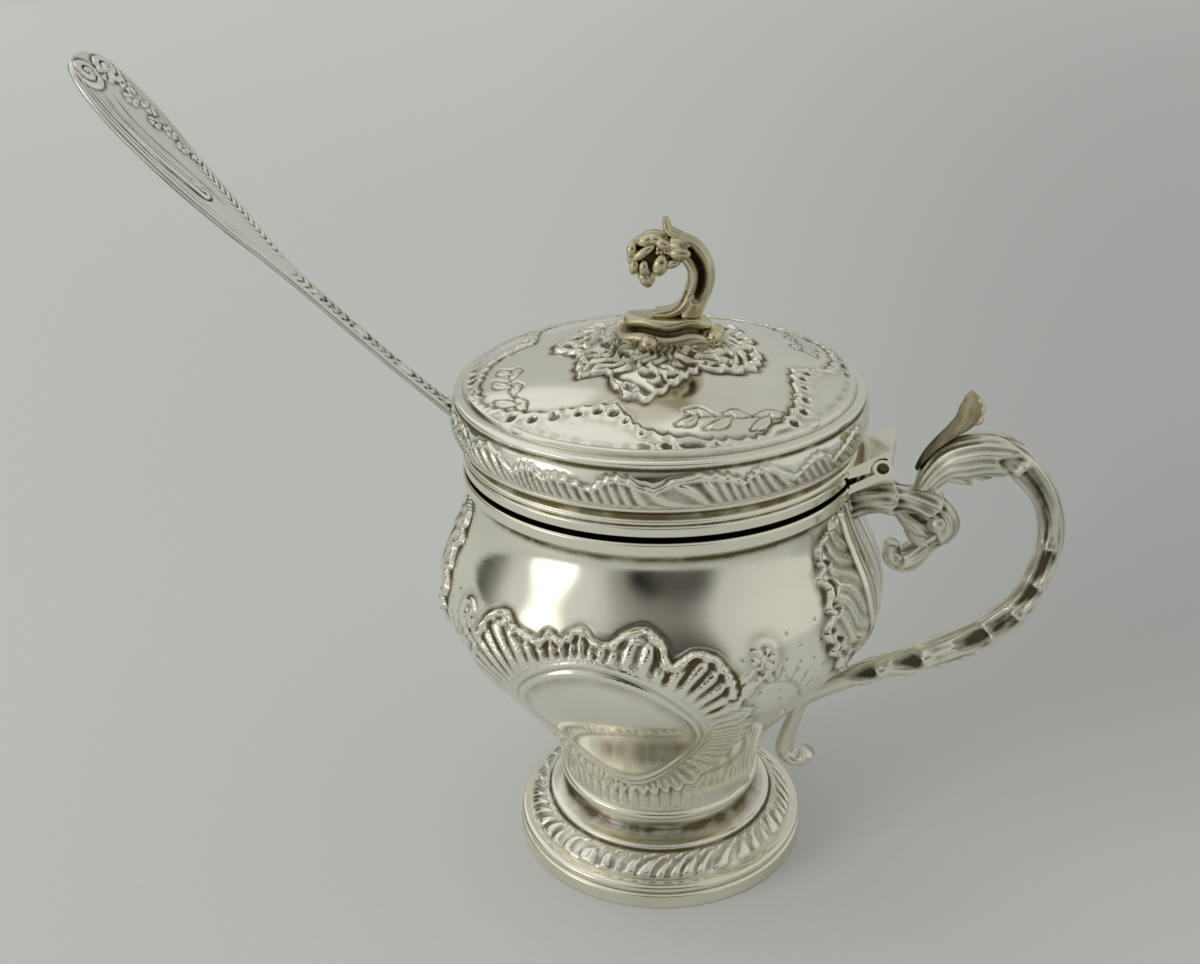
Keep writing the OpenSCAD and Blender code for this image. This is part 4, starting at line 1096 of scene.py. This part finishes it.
dome_curve = bezier([(29.5, 80.9), (22, 84.2), (12, 86.6), (1.3, 86.6)], 90)
dome_out = np.vstack([[(29.5, 80.6)], dome_curve])
dome_in = np.vstack([(dome_curve - WALL * outline_normals(dome_curve))[::-6], [(28, 80.6)]])
# The dome is darker towards the finial: the extra mask is full within 7 mm of the middle and gone by 15 mm.
turned(
    "dome_chased", dome_out, dome_in, dome_relief, raised_silver, "lid", "lid_dome", 840, 0.25,
    film_and_painted_shade=lambda radius, level_z: 0.38 * soft(15, 7, radius),
)

# %% [markdown]
# ## Castings along a curve
# The handle, its bracket, the thumb leaf and the finial's stem are cast in sand from carved models.
# Each is a bar swept along a flat curve. Its thickness lies in the curve's plane and its width across it.
# The leafwork is pushed out of the bar's skin, as it was carved in the model.
# A row of a path gives the place in the curve's plane, then half the thickness and half the width there.

# %% Swept bars
def swept(path, steps, sides, relief, seat=None):
    dense = flowing(path, steps)
    flat = dense[:, :2]
    run = run_of(flat)
    along = np.gradient(flat, axis=0)
    along /= np.linalg.norm(along, axis=1)[:, None]
    lean = np.stack([-along[:, 1], along[:, 0]], 1)
    if seat is not None:
        share = soft(0, 1.2, run)[:, None]
        lean = lean * share + np.array(seat) * (1 - share)
        lean /= np.linalg.norm(lean, axis=1)[:, None]
    turn = np.linspace(0, 2 * np.pi, sides, endpoint=False)[None]
    thick, wide = dense[:, 2:3], dense[:, 3:4]
    height = relief(run[:, None] + 0 * turn, turn + 0 * run[:, None], thick)
    out_t, out_w = np.cos(turn) / thick, np.sin(turn) / wide
    size = np.hypot(out_t, out_w)
    shift_t = thick * np.cos(turn) + height * out_t / size
    shift_w = wide * np.sin(turn) + height * out_w / size
    x = flat[:, :1] + shift_t * lean[:, :1]
    z = flat[:, 1:] + shift_t * lean[:, 1:]
    return np.stack([x, shift_w, z], -1), height


def leaf_tip(path):
    return swept(path, 10, 32, lambda run, turn, thick: 0.07 * np.cos(9 * turn))


def spiral(centre, radius, angle, half_t, half_w, steps):
    share = np.linspace(0, 1, steps + 1)
    turn, out, thick, wide = (a + (b - a) * share for a, b in (np.radians(angle), radius, half_t, half_w))
    return np.stack([centre[0] + out * np.cos(turn), centre[1] + out * np.sin(turn), thick, wide], 1).tolist()


def ball(centre, radius, stretch=(1, 1, 1), columns=24):
    turn = np.linspace(0, 2 * np.pi, columns, endpoint=False)[None]
    fall = np.linspace(0.06, math.pi - 0.06, columns // 2)[:, None]
    shape = np.stack([np.sin(fall) * np.cos(turn), np.sin(fall) * np.sin(turn), np.cos(fall) + 0 * turn], -1)
    points = np.array(centre) + radius * np.array(stretch) * shape
    return points, np.zeros(points.shape[:2])


print("bars can be swept")

# %% Cast pieces
def with_ends(values):
    return np.r_[values.ravel(), 0, 0]


def darkened(bar, share):
    points, height = bar
    return points, height, with_ends(np.clip(-share * height, 0, 1))


def cast_piece(name, bars, metal, body, replaced, depth=0.3):
    points, quads, fans, hollow = [], [], [], []
    first = 0
    for made, height, *film_and_painted_shade in bars:
        rows, columns = made.shape[:2]
        points += [made.reshape(-1, 3), made[[0, -1]].mean(1)]
        quads.append(grid_quads(rows, columns, False, True) + first)
        fans.append(end_caps(rows, columns) + first)
        # A bar's extra mask is patina in its hollows, and painted shade where the finial base meets the dome
        # and under the spoon's edges.
        hollow.append(np.maximum(with_ends(hollows(height, 5, 4, depth)), film_and_painted_shade[0] if film_and_painted_shade else 0))
        first += rows * columns + 2
    marks = {"hollow": np.concatenate(hollow), "matting": np.zeros(first)}
    points, quads, fans = (np.vstack(part) for part in (points, quads, fans))
    mesh_piece(name, points, quads, fans, metal, body, replaced, marks)


print("casting ready")

# %% Handle scroll
SCROLL_PATH = [
    (40.03, 66.75, 1.6, 1.88), (41.43, 69.05, 2, 2.3), (43.23, 70.95, 2.6, 2.8), (45.5, 71.9, 3, 2.9),
    (49.1, 72.6, 2.7, 2.7), (53, 71.7, 2.3, 2.5), (57.3, 66.4, 1.9, 2.5), (58.7, 59.2, 1.85, 2.5),
    (56.2, 49.7, 2, 2.5), (50.3, 42.8, 2.3, 2.5), (41.55, 37.48, 2.1, 2.5), (33.55, 33.78, 1.7, 2.3),
    (24.35, 27.88, 1.4, 2), (22.45, 23.28, 1.25, 1.8),
] + spiral((23.25, 17.38), (2.2, 1.7), (165, 350), (1.5, 1.35), (1.8, 1.6), 4)
SCOOPS = [
    (16.5, 29, 1.4, 2.2), (30, 37.6, 1.6, 2.3), (36.5, 41.5, 1.75, 2.4), (42.3, 48.3, 1.5, 1.85),
    (47.4, 53, 1.8, 1.95), (58.5, 63.5, 1.8, 2.2), (66, 70.5, 1.8, 2.2),
]
BEADS = (50.6, 52.6, 56.2, 61.5, 68.5)


def handle_leaves(run, turn, thick):
    fold = np.arccos(np.clip(np.cos(turn), -1, 1))
    leaf = soft(14.3, 13.3, run + 1.3 * np.cos(4 * fold))
    height = leaf * (0.1 + 0.4 * soft(3, 13, run) + 0.14 * np.cos(14 * fold + 0.15 * run))
    height += 0.1 * np.cos(10 * fold) * soft(13, 16, run) * soft(62, 50, run)
    for start, stop, first, last in SCOOPS:
        share = np.clip((run - start) / (stop - start), 0, 1)
        aside = fold - first - (last - first) * share
        swell = np.sin(np.pi * share ** 0.5)
        height -= 0.95 * swell ** 0.5 * ridge(aside, 0.2 + 0.5 * swell)
        height += 0.25 * swell * ridge(np.abs(aside) - 1, 0.22)
        height += 0.4 * ridge(run - start + 0.4, 0.6) * ridge(fold - first, 0.7)
    for place in BEADS:
        height += 0.45 * bead(np.hypot(run - place, (fold - 0.5) / 0.45), 1)
    calm = soft(0.2, 1.5, run) * soft(92, 84, run)
    return height * calm * np.clip(thick / 2, 0.3, 1)


scroll_bar = darkened(swept(SCROLL_PATH, 22, 64, handle_leaves, (-1, 0)), 1.15)
hanging = leaf_tip([
    (42.2, 69.4, 0.9, 2.2), (44.4, 68.9, 0.9, 2.2), (46, 68.3, 0.6, 1.6), (46.8, 67.7, 0.2, 0.5),
])
lifted = leaf_tip([(46.4, 69.9, 0.6, 2), (48.2, 69.4, 0.6, 1.9), (49.6, 69.3, 0.25, 0.8)])
bars = [scroll_bar, hanging, lifted]
cast_piece("handle_scroll_cast", bars, cast_silver, "pot", "handle_scroll")

# %% Handle bracket
BRACKET_PATH = [
    (29.33, 62.33, 2, 2.25), (31.73, 63.6, 2.1, 2.38), (34.53, 64.2, 2.3, 2.5), (38.03, 64.4, 2.2, 2.5),
    (41.03, 63.9, 2, 2.5), (43.03, 62.6, 1.9, 2.38), (43.73, 60.9, 1.9, 2.38), (42.93, 59.2, 1.7, 2.25),
    (41.33, 57.6, 1.5, 2.13), (39.93, 55.9, 1.4, 2), (38.33, 54.5, 1.4, 1.88), (36.73, 54.4, 1.3, 1.75),
    (35.93, 55.6, 1, 1.63), (36.23, 56.9, 0.6, 1.25),
]
HUSK_STARTS = [0, 7, 13, 18, 25, 34]


def bracket_leaves(run, turn, thick):
    order = np.interp(run, HUSK_STARTS, range(len(HUSK_STARTS))) - 0.16 * np.abs(np.sin(1.5 * turn))
    phase = np.mod(order, 1)
    husk = 0.5 * phase ** 1.6 * soft(1, 0.92, phase) - 0.15
    husk = husk + 0.1 * np.cos(9 * turn + 0.3 * run) + 0.14 * np.cos(3 * turn + run)
    hook = 0.45 * soft(20, 24, run) * soft(34, 30, run)
    return hook + husk * np.clip(thick / 1.8, 0.25, 1)


bracket_bar = swept(BRACKET_PATH, 14, 56, bracket_leaves, (-0.15, 0.99))
rolled = ball((42.6, 0, 61.3), 2.1, (1, 1.25, 1), 32)
flap = leaf_tip([(36.4, 62.9, 0.8, 2), (38.2, 61.2, 1.3, 2.5), (40, 60, 1.3, 2.4), (41.4, 59, 0.5, 1.4)])
second = leaf_tip([(38, 60.6, 0.7, 1.9), (39.2, 59, 1.2, 2.3), (40.8, 57.9, 1.2, 2.2), (42, 57.2, 0.4, 1.2)])
bars = [darkened(bar, 1.6) for bar in (bracket_bar, rolled, flap, second)]
cast_piece("handle_bracket_cast", bars, cast_silver, "pot", "handle_bracket")

# %% Path of the thumb leaf
SOLDER = 0.15
rings = flowing(SCROLL_PATH, 3)
way = np.gradient(rings[:, :2], axis=0)
way /= np.linalg.norm(way, axis=1)[:, None]


def on_scroll(ring, above):
    out = np.array((-way[ring, 1], way[ring, 0]))
    return rings[ring, :2] + (rings[ring, 2] + SOLDER + above) * out


thumb_foot = on_scroll(6, 0.55)
THUMB_RISE = [
    (2.05, 2.2, 0.9, 2.4), (3.6, 3.9, 1.4, 2.6), (4.3, 5.2, 1.7, 2.6), (4.45, 6.4, 1.5, 2.3),
    (4.35, 7.5, 1, 1.5), (4.3, 8.4, 0.3, 0.6),
]
THUMB_PATH = [(*on_scroll(2, 0.45), 0.35, 0.9), (*on_scroll(4, 0.5), 0.5, 1.6), (*thumb_foot, 0.55, 2.2)]
THUMB_PATH += [(*(thumb_foot + (over, rise)), *size) for over, rise, *size in THUMB_RISE]
print("thumb leaf rises", THUMB_RISE[-1][1], "mm")

# %% Thumb leaf
def thumb_stripes(run, turn, thick):
    fine = 0.08 * (np.cos(30 * turn) - 1) * np.clip(thick / 0.6, 0.2, 1)
    fold = ridge(np.cos(turn) + 0.25 - 0.05 * (run - 8), 0.14) * soft(0.5, 0.8, np.abs(np.sin(turn)))
    return (fine - 0.2 * fold * soft(7, 9, run) * soft(14, 12.5, run)) * soft(0, 2, run)


thumb_points, thumb_height = swept(THUMB_PATH, 16, 96, thumb_stripes)
browned = np.linspace(1, 0.3, len(thumb_points))[:, None] + 0 * thumb_height
thumb_bar = (thumb_points, thumb_height, with_ends(browned))
edge_lobes = [
    ball((thumb_foot[0] + over, 0, thumb_foot[1] + rise), size, (1, 2.2, 1))
    for over, rise, size in ((5.5, 4.4, 0.85), (5.85, 5.9, 0.65), (5.4, 7.1, 0.5))
]
bars = [thumb_bar, *edge_lobes]
cast_piece("thumb_leaf_cast", bars, thumb_silver, "pot", "handle_thumb_leaf")

# %% [markdown]
# ## The finial
# A curled leaf stalk grows from a ragged leaf base and rolls over to a flower. The stalk is hollowed on both
# sides, and patina has stayed in the hollow.
# The flower is a cluster of petals and seeds, each its own closed form.
# A row of the base gives its radius, its height above the dome and how far its lobes reach.

# %% Finial base
BASE_MIDDLE = 1.2
BASE_NARROW = 0.48
DOME_TOP = 86.75
BASE_ROWS = [
    (1.2, 0.15, 0), (4, 0.15, 0), (6.6, 0.12, 0), (7.5, 0.3, 0.02), (7.95, 0.95, 0.03), (7.75, 1.6, 0.03),
    (7.1, 2, 0.03), (6.2, 2.15, 0.02), (5.6, 2.3, 0), (5.6, 2.55, 0), (6.15, 2.8, 0.03), (6.5, 3.2, 0.035),
    (6.35, 3.7, 0.035), (5.7, 4.05, 0.02), (4.2, 4.25, 0), (2.2, 4.35, 0),
]


def dome_height(radius):
    order = np.argsort(dome_curve[:, 0])
    return np.interp(radius, dome_curve[order, 0], dome_curve[order, 1])


def finial_base_grid(columns):
    reach, rise, ragged = np.split(flowing(BASE_ROWS, 7), 3, axis=1)
    turn = np.linspace(0, 2 * np.pi, columns, endpoint=False)[None]
    lobe = np.cos(5 * turn + 0.9) + 0.6 * np.cos(3 * turn)
    radius = reach * (1 + ragged * lobe)
    x, y = BASE_MIDDLE + radius * np.cos(turn), BASE_NARROW * radius * np.sin(turn)
    curl = 0.3 * lobe * soft(0.3, 1.2, rise) * soft(4.3, 3.6, rise)
    top = soft(2.2, 3, rise)
    z = (dome_height(np.hypot(x, y)) + rise) * (1 - top) + (DOME_TOP + rise) * top - curl
    relief = 0.3 * ragged * lobe - 0.9 * ridge(rise - 2.4, 0.4) - 0.5 * ridge(rise, 0.5)
    return np.stack([x, y, z], -1), relief


# The film here is patina in the groove, and also painted shade on the low rim where the base meets the dome.
base_bar = darkened(finial_base_grid(240), 0.5)
buds = [ball((-0.4, side * 5.2, 87.9), 1.4) for side in (-1, 1)]
rolls = [ball((8.5, side * 0.9, 88.3), 1.2, (1, 1.4, 1)) for side in (-1, 1)]
cast_piece("finial_base_cast", [base_bar] + buds + rolls, finial_silver, "lid", "finial_base")

# %% Finial stem
STEM_PATH = [
    (4.6, 91.1, 1.7, 1.8), (5.2, 93.07, 1.9, 2), (6.2, 96.09, 2, 2.2), (6.1, 98.41, 2, 2.2),
    (4.9, 100.38, 2, 2.2), (3.4, 101.42, 1.8, 2.1), (2, 101.5, 1.5, 1.8),
]
FLARE_PATH = [
    (-0.6, 91.15, 0.35, 2.3), (2, 91.5, 0.7, 2.5), (3.9, 92.6, 1, 2.35), (4.9, 94.4, 1.1, 2.1),
    (5.3, 96, 0.7, 1.4),
]
TIP_PATH = [
    (4.6, 101.4, 0.9, 1.9), (3.34, 102.5, 0.7, 1.6), (2.09, 103.1, 0.7, 1.3), (1.36, 103.7, 0.65, 1),
    (1.04, 104.9, 0.45, 0.6), (1, 105.5, 0.2, 0.25),
]


def stem_flutes(run, turn, thick):
    fold = np.arccos(np.clip(-np.cos(turn), -1, 1))
    lips = 0.18 * (ridge(fold - 0.65, 0.16) + ridge(fold - 2, 0.2))
    open_run = soft(2.2, 4.2, run) * soft(11.8, 10, run)
    return open_run * (lips - 1.15 * ridge(fold - 1.3, 0.4)) + 0.05 * np.cos(12 * fold) * soft(1.9, 2.4, fold)


stem_bar = darkened(swept(STEM_PATH, 18, 96, stem_flutes, (-1, 0)), 1.2)
bars = [stem_bar, leaf_tip(FLARE_PATH), leaf_tip(TIP_PATH)]
bars += [ball((3.5, side * 1.9, 100.6), 1.5, (1.1, 0.5, 0.62)) for side in (-1, 1)]
cast_piece("finial_stem_cast", bars, finial_silver, "lid", "finial_stem")

# %% Petals
def petal(x, y, z, over, rise, long, wide, thick):
    along = np.array((over, 0, rise)) / math.hypot(over, rise)
    across = np.array((0, 1, 0))
    out = np.cross(along, across)
    fall = np.linspace(0.05, math.pi - 0.05, 18)[:, None]
    turn = np.linspace(0, 2 * np.pi, 28, endpoint=False)[None]
    crease = 1 - 0.16 * ridge(np.sin(turn) + 1, 0.25) - 0.16 * ridge(np.sin(turn) - 1, 0.25)
    shape = (
        (long * np.cos(fall) + 0 * turn)[..., None] * along
        + (wide * np.sin(fall) * np.cos(turn) * crease)[..., None] * across
        + (thick * np.sin(fall) * np.sin(turn) * crease)[..., None] * out
    )
    return np.array((x, y, z)) + shape, 0.4 * (crease - 1) * np.sin(fall)


MIDDLE_PETALS = [
    (-2.7, 0, 101.8, 1, 0.6, 1.2, 1, 0.9), (-4, 0, 99.2, 0.1, 1, 1.1, 0.9, 0.8),
    (-2.6, 0, 96.8, 0.4, -1, 1.1, 0.9, 0.8),
]
SIDE_PETALS = [
    (-1.5, 1, 102.2, 1, 0.35, 1.35, 1, 0.9), (-0.3, 0.9, 102.4, 1, -0.2, 1.2, 1, 0.85),
    (-1.95, 1.55, 100.4, 0.81, 0.58, 1.75, 0.8, 0.7), (-3.7, 0.9, 100.6, 0.2, 1, 1.05, 0.85, 0.85),
    (-3.35, 1.1, 98.2, 0.2, 1, 1.05, 0.75, 0.75), (-1.8, 1.35, 98.1, 0, 1, 1.1, 0.75, 0.8),
    (-1.75, 0.75, 96.4, 0.5, -1, 1.2, 0.9, 0.95), (0.6, 1.55, 98.7, 0.3, 1, 1.4, 0.9, 1.15),
    (2.2, 1.2, 98.9, 1, 0.35, 1.15, 0.65, 0.7), (1, 1.25, 101.8, 1, -0.3, 1.2, 0.85, 0.8),
]
SIDE_GROWTH = 1.22
SEEDS = 12
SEED_RADIUS = 0.34
print("petals:", len(MIDDLE_PETALS) + 2 * len(SIDE_PETALS))

# %% Finial flower
flower = [(*ball((-0.9, 0, 99.6), 2.1, (1.1, 0.7, 1.15), 32), 0.8)]
flower += [petal(*row) for row in MIDDLE_PETALS]
for x, y, z, over, rise, *sizes in SIDE_PETALS:
    grown = [SIDE_GROWTH * size for size in sizes]
    flower += [petal(x, side * y, z, over, rise, *grown) for side in (-1, 1)]
for k in range(SEEDS):
    x, y, z = 0.2 + 0.55 * (k % 4), 1.75 - 0.2 * (k % 3), 100.6 + 0.5 * (k // 4)
    flower += [ball((x, side * y, z), SEED_RADIUS, columns=12) for side in (1, -1)]
cast_piece("finial_flower_cast", flower, finial_silver, "lid", "finial_flower")

# %% [markdown]
# ## The mustard spoon
# The spoon is struck from one strip: a flat terminal with a threaded border, two rolled curls at its tip,
# blossoms along one side and flowing threads along the other, a narrow stem with a sprig, and a plain bowl.
# Its front face carries the relief, its back is plain. Each row of the list is a station along the spoon:
# its place, half width, half thickness, sag below the stem's line, and the rise of its edges.

# %% Spoon outline
SPOON = [
    (0, 1.6, 0.4, -0.5, 0), (1.6, 4.69, 0.5, -0.3, 0), (6, 6.3, 0.65, 0.1, -0.2), (13, 6.7, 0.7, 0.7, -0.3),
    (23, 5.63, 0.7, 1.6, -0.25), (33, 4.15, 0.65, 2.1, -0.1), (40, 2.68, 0.6, 2.3, 0),
    (47, 1.86, 0.55, 2.2, 0),
    (64, 1.6, 0.55, 1.4, 0), (76, 1.6, 0.55, 0.4, 0), (84, 1.6, 0.55, 0, 0), (108, 1.6, 0.55, 0, 0),
    (116, 2.56, 0.6, 0.68, 0.34), (121.5, 5.55, 0.5, 2.55, 2.38), (128.5, 7.3, 0.45, 3.4, 3.4),
    (135.5, 6.13, 0.45, 2.72, 2.55), (139.75, 3.2, 0.4, 0.85, 0.68), (141, 1.17, 0.35, 0, 0),
]
SPOON_PLACES, SPOON_HALVES = np.array(SPOON)[:, :2].T
BLOSSOMS = [
    (4.6, 0.15, 1.5), (7.4, 0.5, 1.5), (9.6, 0.22, 1.3), (11.8, 0.56, 1.4), (14.4, 0.3, 1.2),
    (16.6, 0.55, 1.3), (19.6, 0.5, 1.1), (22, 0.7, 0.9),
]
THREADS = [
    (0.3, [
        (-4.3, 7), (-4.6, 13), (-4, 19), (-3, 24), (-2.3, 27.6), (-1.6, 28.3), (-1.2, 27.5), (-1.6, 26.8),
    ]),
    (-0.16, [(-3, 5.5), (-3.4, 11), (-2.9, 17), (-2, 22), (-1.2, 25.5)]),
    (-0.18, [(-1.4, 7), (-2, 12), (-1.6, 17), (-0.6, 21.5), (0.2, 26), (0.4, 31)]),
]
print("spoon is", SPOON[-1][0], "mm long")

# %% Ornament of the spoon
CURL_PLACE = 3.6


def rolled_curls(place, across):
    height = np.zeros_like(across)
    for side in (-1, 1):
        aside = across - 2.6 * side
        spot = np.hypot(aside, (place - CURL_PLACE) / 1.25)
        swirl = spot + 0.3 * np.arctan2(place - CURL_PLACE, aside * side)
        height = np.maximum(height, 0.5 * bead(spot, 2.5))
        height -= 0.36 * ridge(np.mod(swirl + 0.2, 1.3) - 0.65, 0.18) * soft(2.6, 2.2, spot)
    return height


def spoon_leafwork(place, across, half):
    height = np.zeros_like(across)
    for at, share, size in BLOSSOMS:
        centre = share * np.interp(at, SPOON_PLACES, SPOON_HALVES)
        spot = np.hypot(across - centre, (place - at) / 1.15)
        turn = np.arctan2(place - at, across - centre)
        height = np.maximum(height, 0.42 * bead(spot, size) * (0.62 + 0.38 * np.cos(5 * turn + at)))
        height -= 0.26 * bead(spot, 0.32) + 0.18 * ridge(spot - size - 0.15, 0.16)
    aside = across - 0.62 * half
    strip = ridge(aside, 0.16 * half + 0.1) * soft(18, 22, place) * soft(43, 40, place)
    height += 0.16 * strip * np.cos(2 * np.pi * (place + 1.4 * np.abs(aside)) / 1.3)
    for raised, line in THREADS:
        gap, share = from_line(flowing(line, 5), across, place)
        fading = soft(0, 0.2, share) * soft(1.02, 0.9, share)
        height += fading * (raised * ridge(gap, 0.26) - 0.08 * ridge(gap - 0.6, 0.22))
    return height


def spoon_relief(place, across, half):
    inset = half - np.abs(across)
    struck = soft(0.4, 1.6, place) * soft(82, 80, place)
    border = 0.22 * ridge(inset - 0.3, 0.2) + 0.2 * ridge(inset - 0.95, 0.18) * soft(44, 34, place)
    border += 0.18 * ridge(inset - 1.6, 0.18) * soft(5, 8, place) * soft(22, 18, place)
    inner = soft(0.4, 0.9, inset) * soft(44, 41, place)
    leafwork = inner * (spoon_leafwork(place, across, half) - 0.06)
    stem = soft(44, 47, place) * soft(80, 78, place)
    sprig = soft(1.05, 0.85, np.abs(across)) * np.cos(2 * np.pi * (place + 0.9 * np.abs(across)) / 1.5)
    knot = bead(np.hypot(across / 0.8, (np.mod(place, 9) - 4.5) / 1.3), 1)
    return struck * (border + rolled_curls(place, across) + leafwork + stem * (0.1 * sprig + 0.18 * knot))


print("blossoms:", len(BLOSSOMS))

# %% Spoon
STEM_POINT = np.array((-28.45, 68.79))
STEM_PLACE = 84
STEM_OUT = np.array((-0.7314, 0.682))
STEM_UP = np.array((0.682, 0.7314))
FINE_END = 50


def spoon_grid(rows, across_count):
    dense = flowing(SPOON, 30)
    fine, coarse = np.linspace(0, FINE_END, rows), np.linspace(FINE_END, SPOON_PLACES[-1], rows // 2)
    place = np.unique(np.r_[fine, coarse])
    half, thick, sag, rise = (np.interp(place, dense[:, 0], dense[:, k])[:, None] for k in (1, 2, 3, 4))
    share = np.sin(np.linspace(-np.pi / 2, np.pi / 2, across_count))[None]
    belly = thick * np.sqrt(1 - 0.72 * share ** 2)
    middle = rise * share ** 2 - sag
    across = half * share
    relief = spoon_relief(place[:, None] + 0 * share, across, half + 0 * share)
    face = np.concatenate([middle + belly + relief, (middle - belly)[:, ::-1]], 1)
    width = np.concatenate([across, across[:, ::-1]], 1)
    height = np.concatenate([relief, 0 * relief], 1)
    # Painted shade: the underside darkens towards its edges, from 16 mm along the spoon onward.
    painted_underside_shade = 0.5 * soft(0.8, 0.97, np.abs(share)) * soft(16, 24, place[:, None])
    film_and_painted_shade = with_ends(np.concatenate([0 * relief, painted_underside_shade], 1))
    line = STEM_POINT + (STEM_PLACE - place)[:, None] * STEM_OUT
    x, z = line[:, :1] + face * STEM_UP[0], line[:, 1:] + face * STEM_UP[1]
    return np.stack([x, width, z], -1), height, film_and_painted_shade


spoon_bar = spoon_grid(330, 121)
cast_piece("spoon_struck", [spoon_bar], spoon_silver, "spoon", "mustard_spoon", 0.1)

# %% [markdown]
# ## Finishes of the solids that stay
# The hinge, its pin, the finial's screw and the liner are plain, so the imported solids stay.
# They only change their material.

# %% Finishes of the plain solids
for label, finish in (
    ("hinge_lower_leaf", turned_silver), ("hinge_upper_leaf", turned_silver), ("hinge_pin", dark_pin),
    ("finial_screw", cast_silver), ("glass_liner", liner_glass),
):
    solids[label].data.materials.clear()
    solids[label].data.materials.append(finish)
print("kept solids dressed")
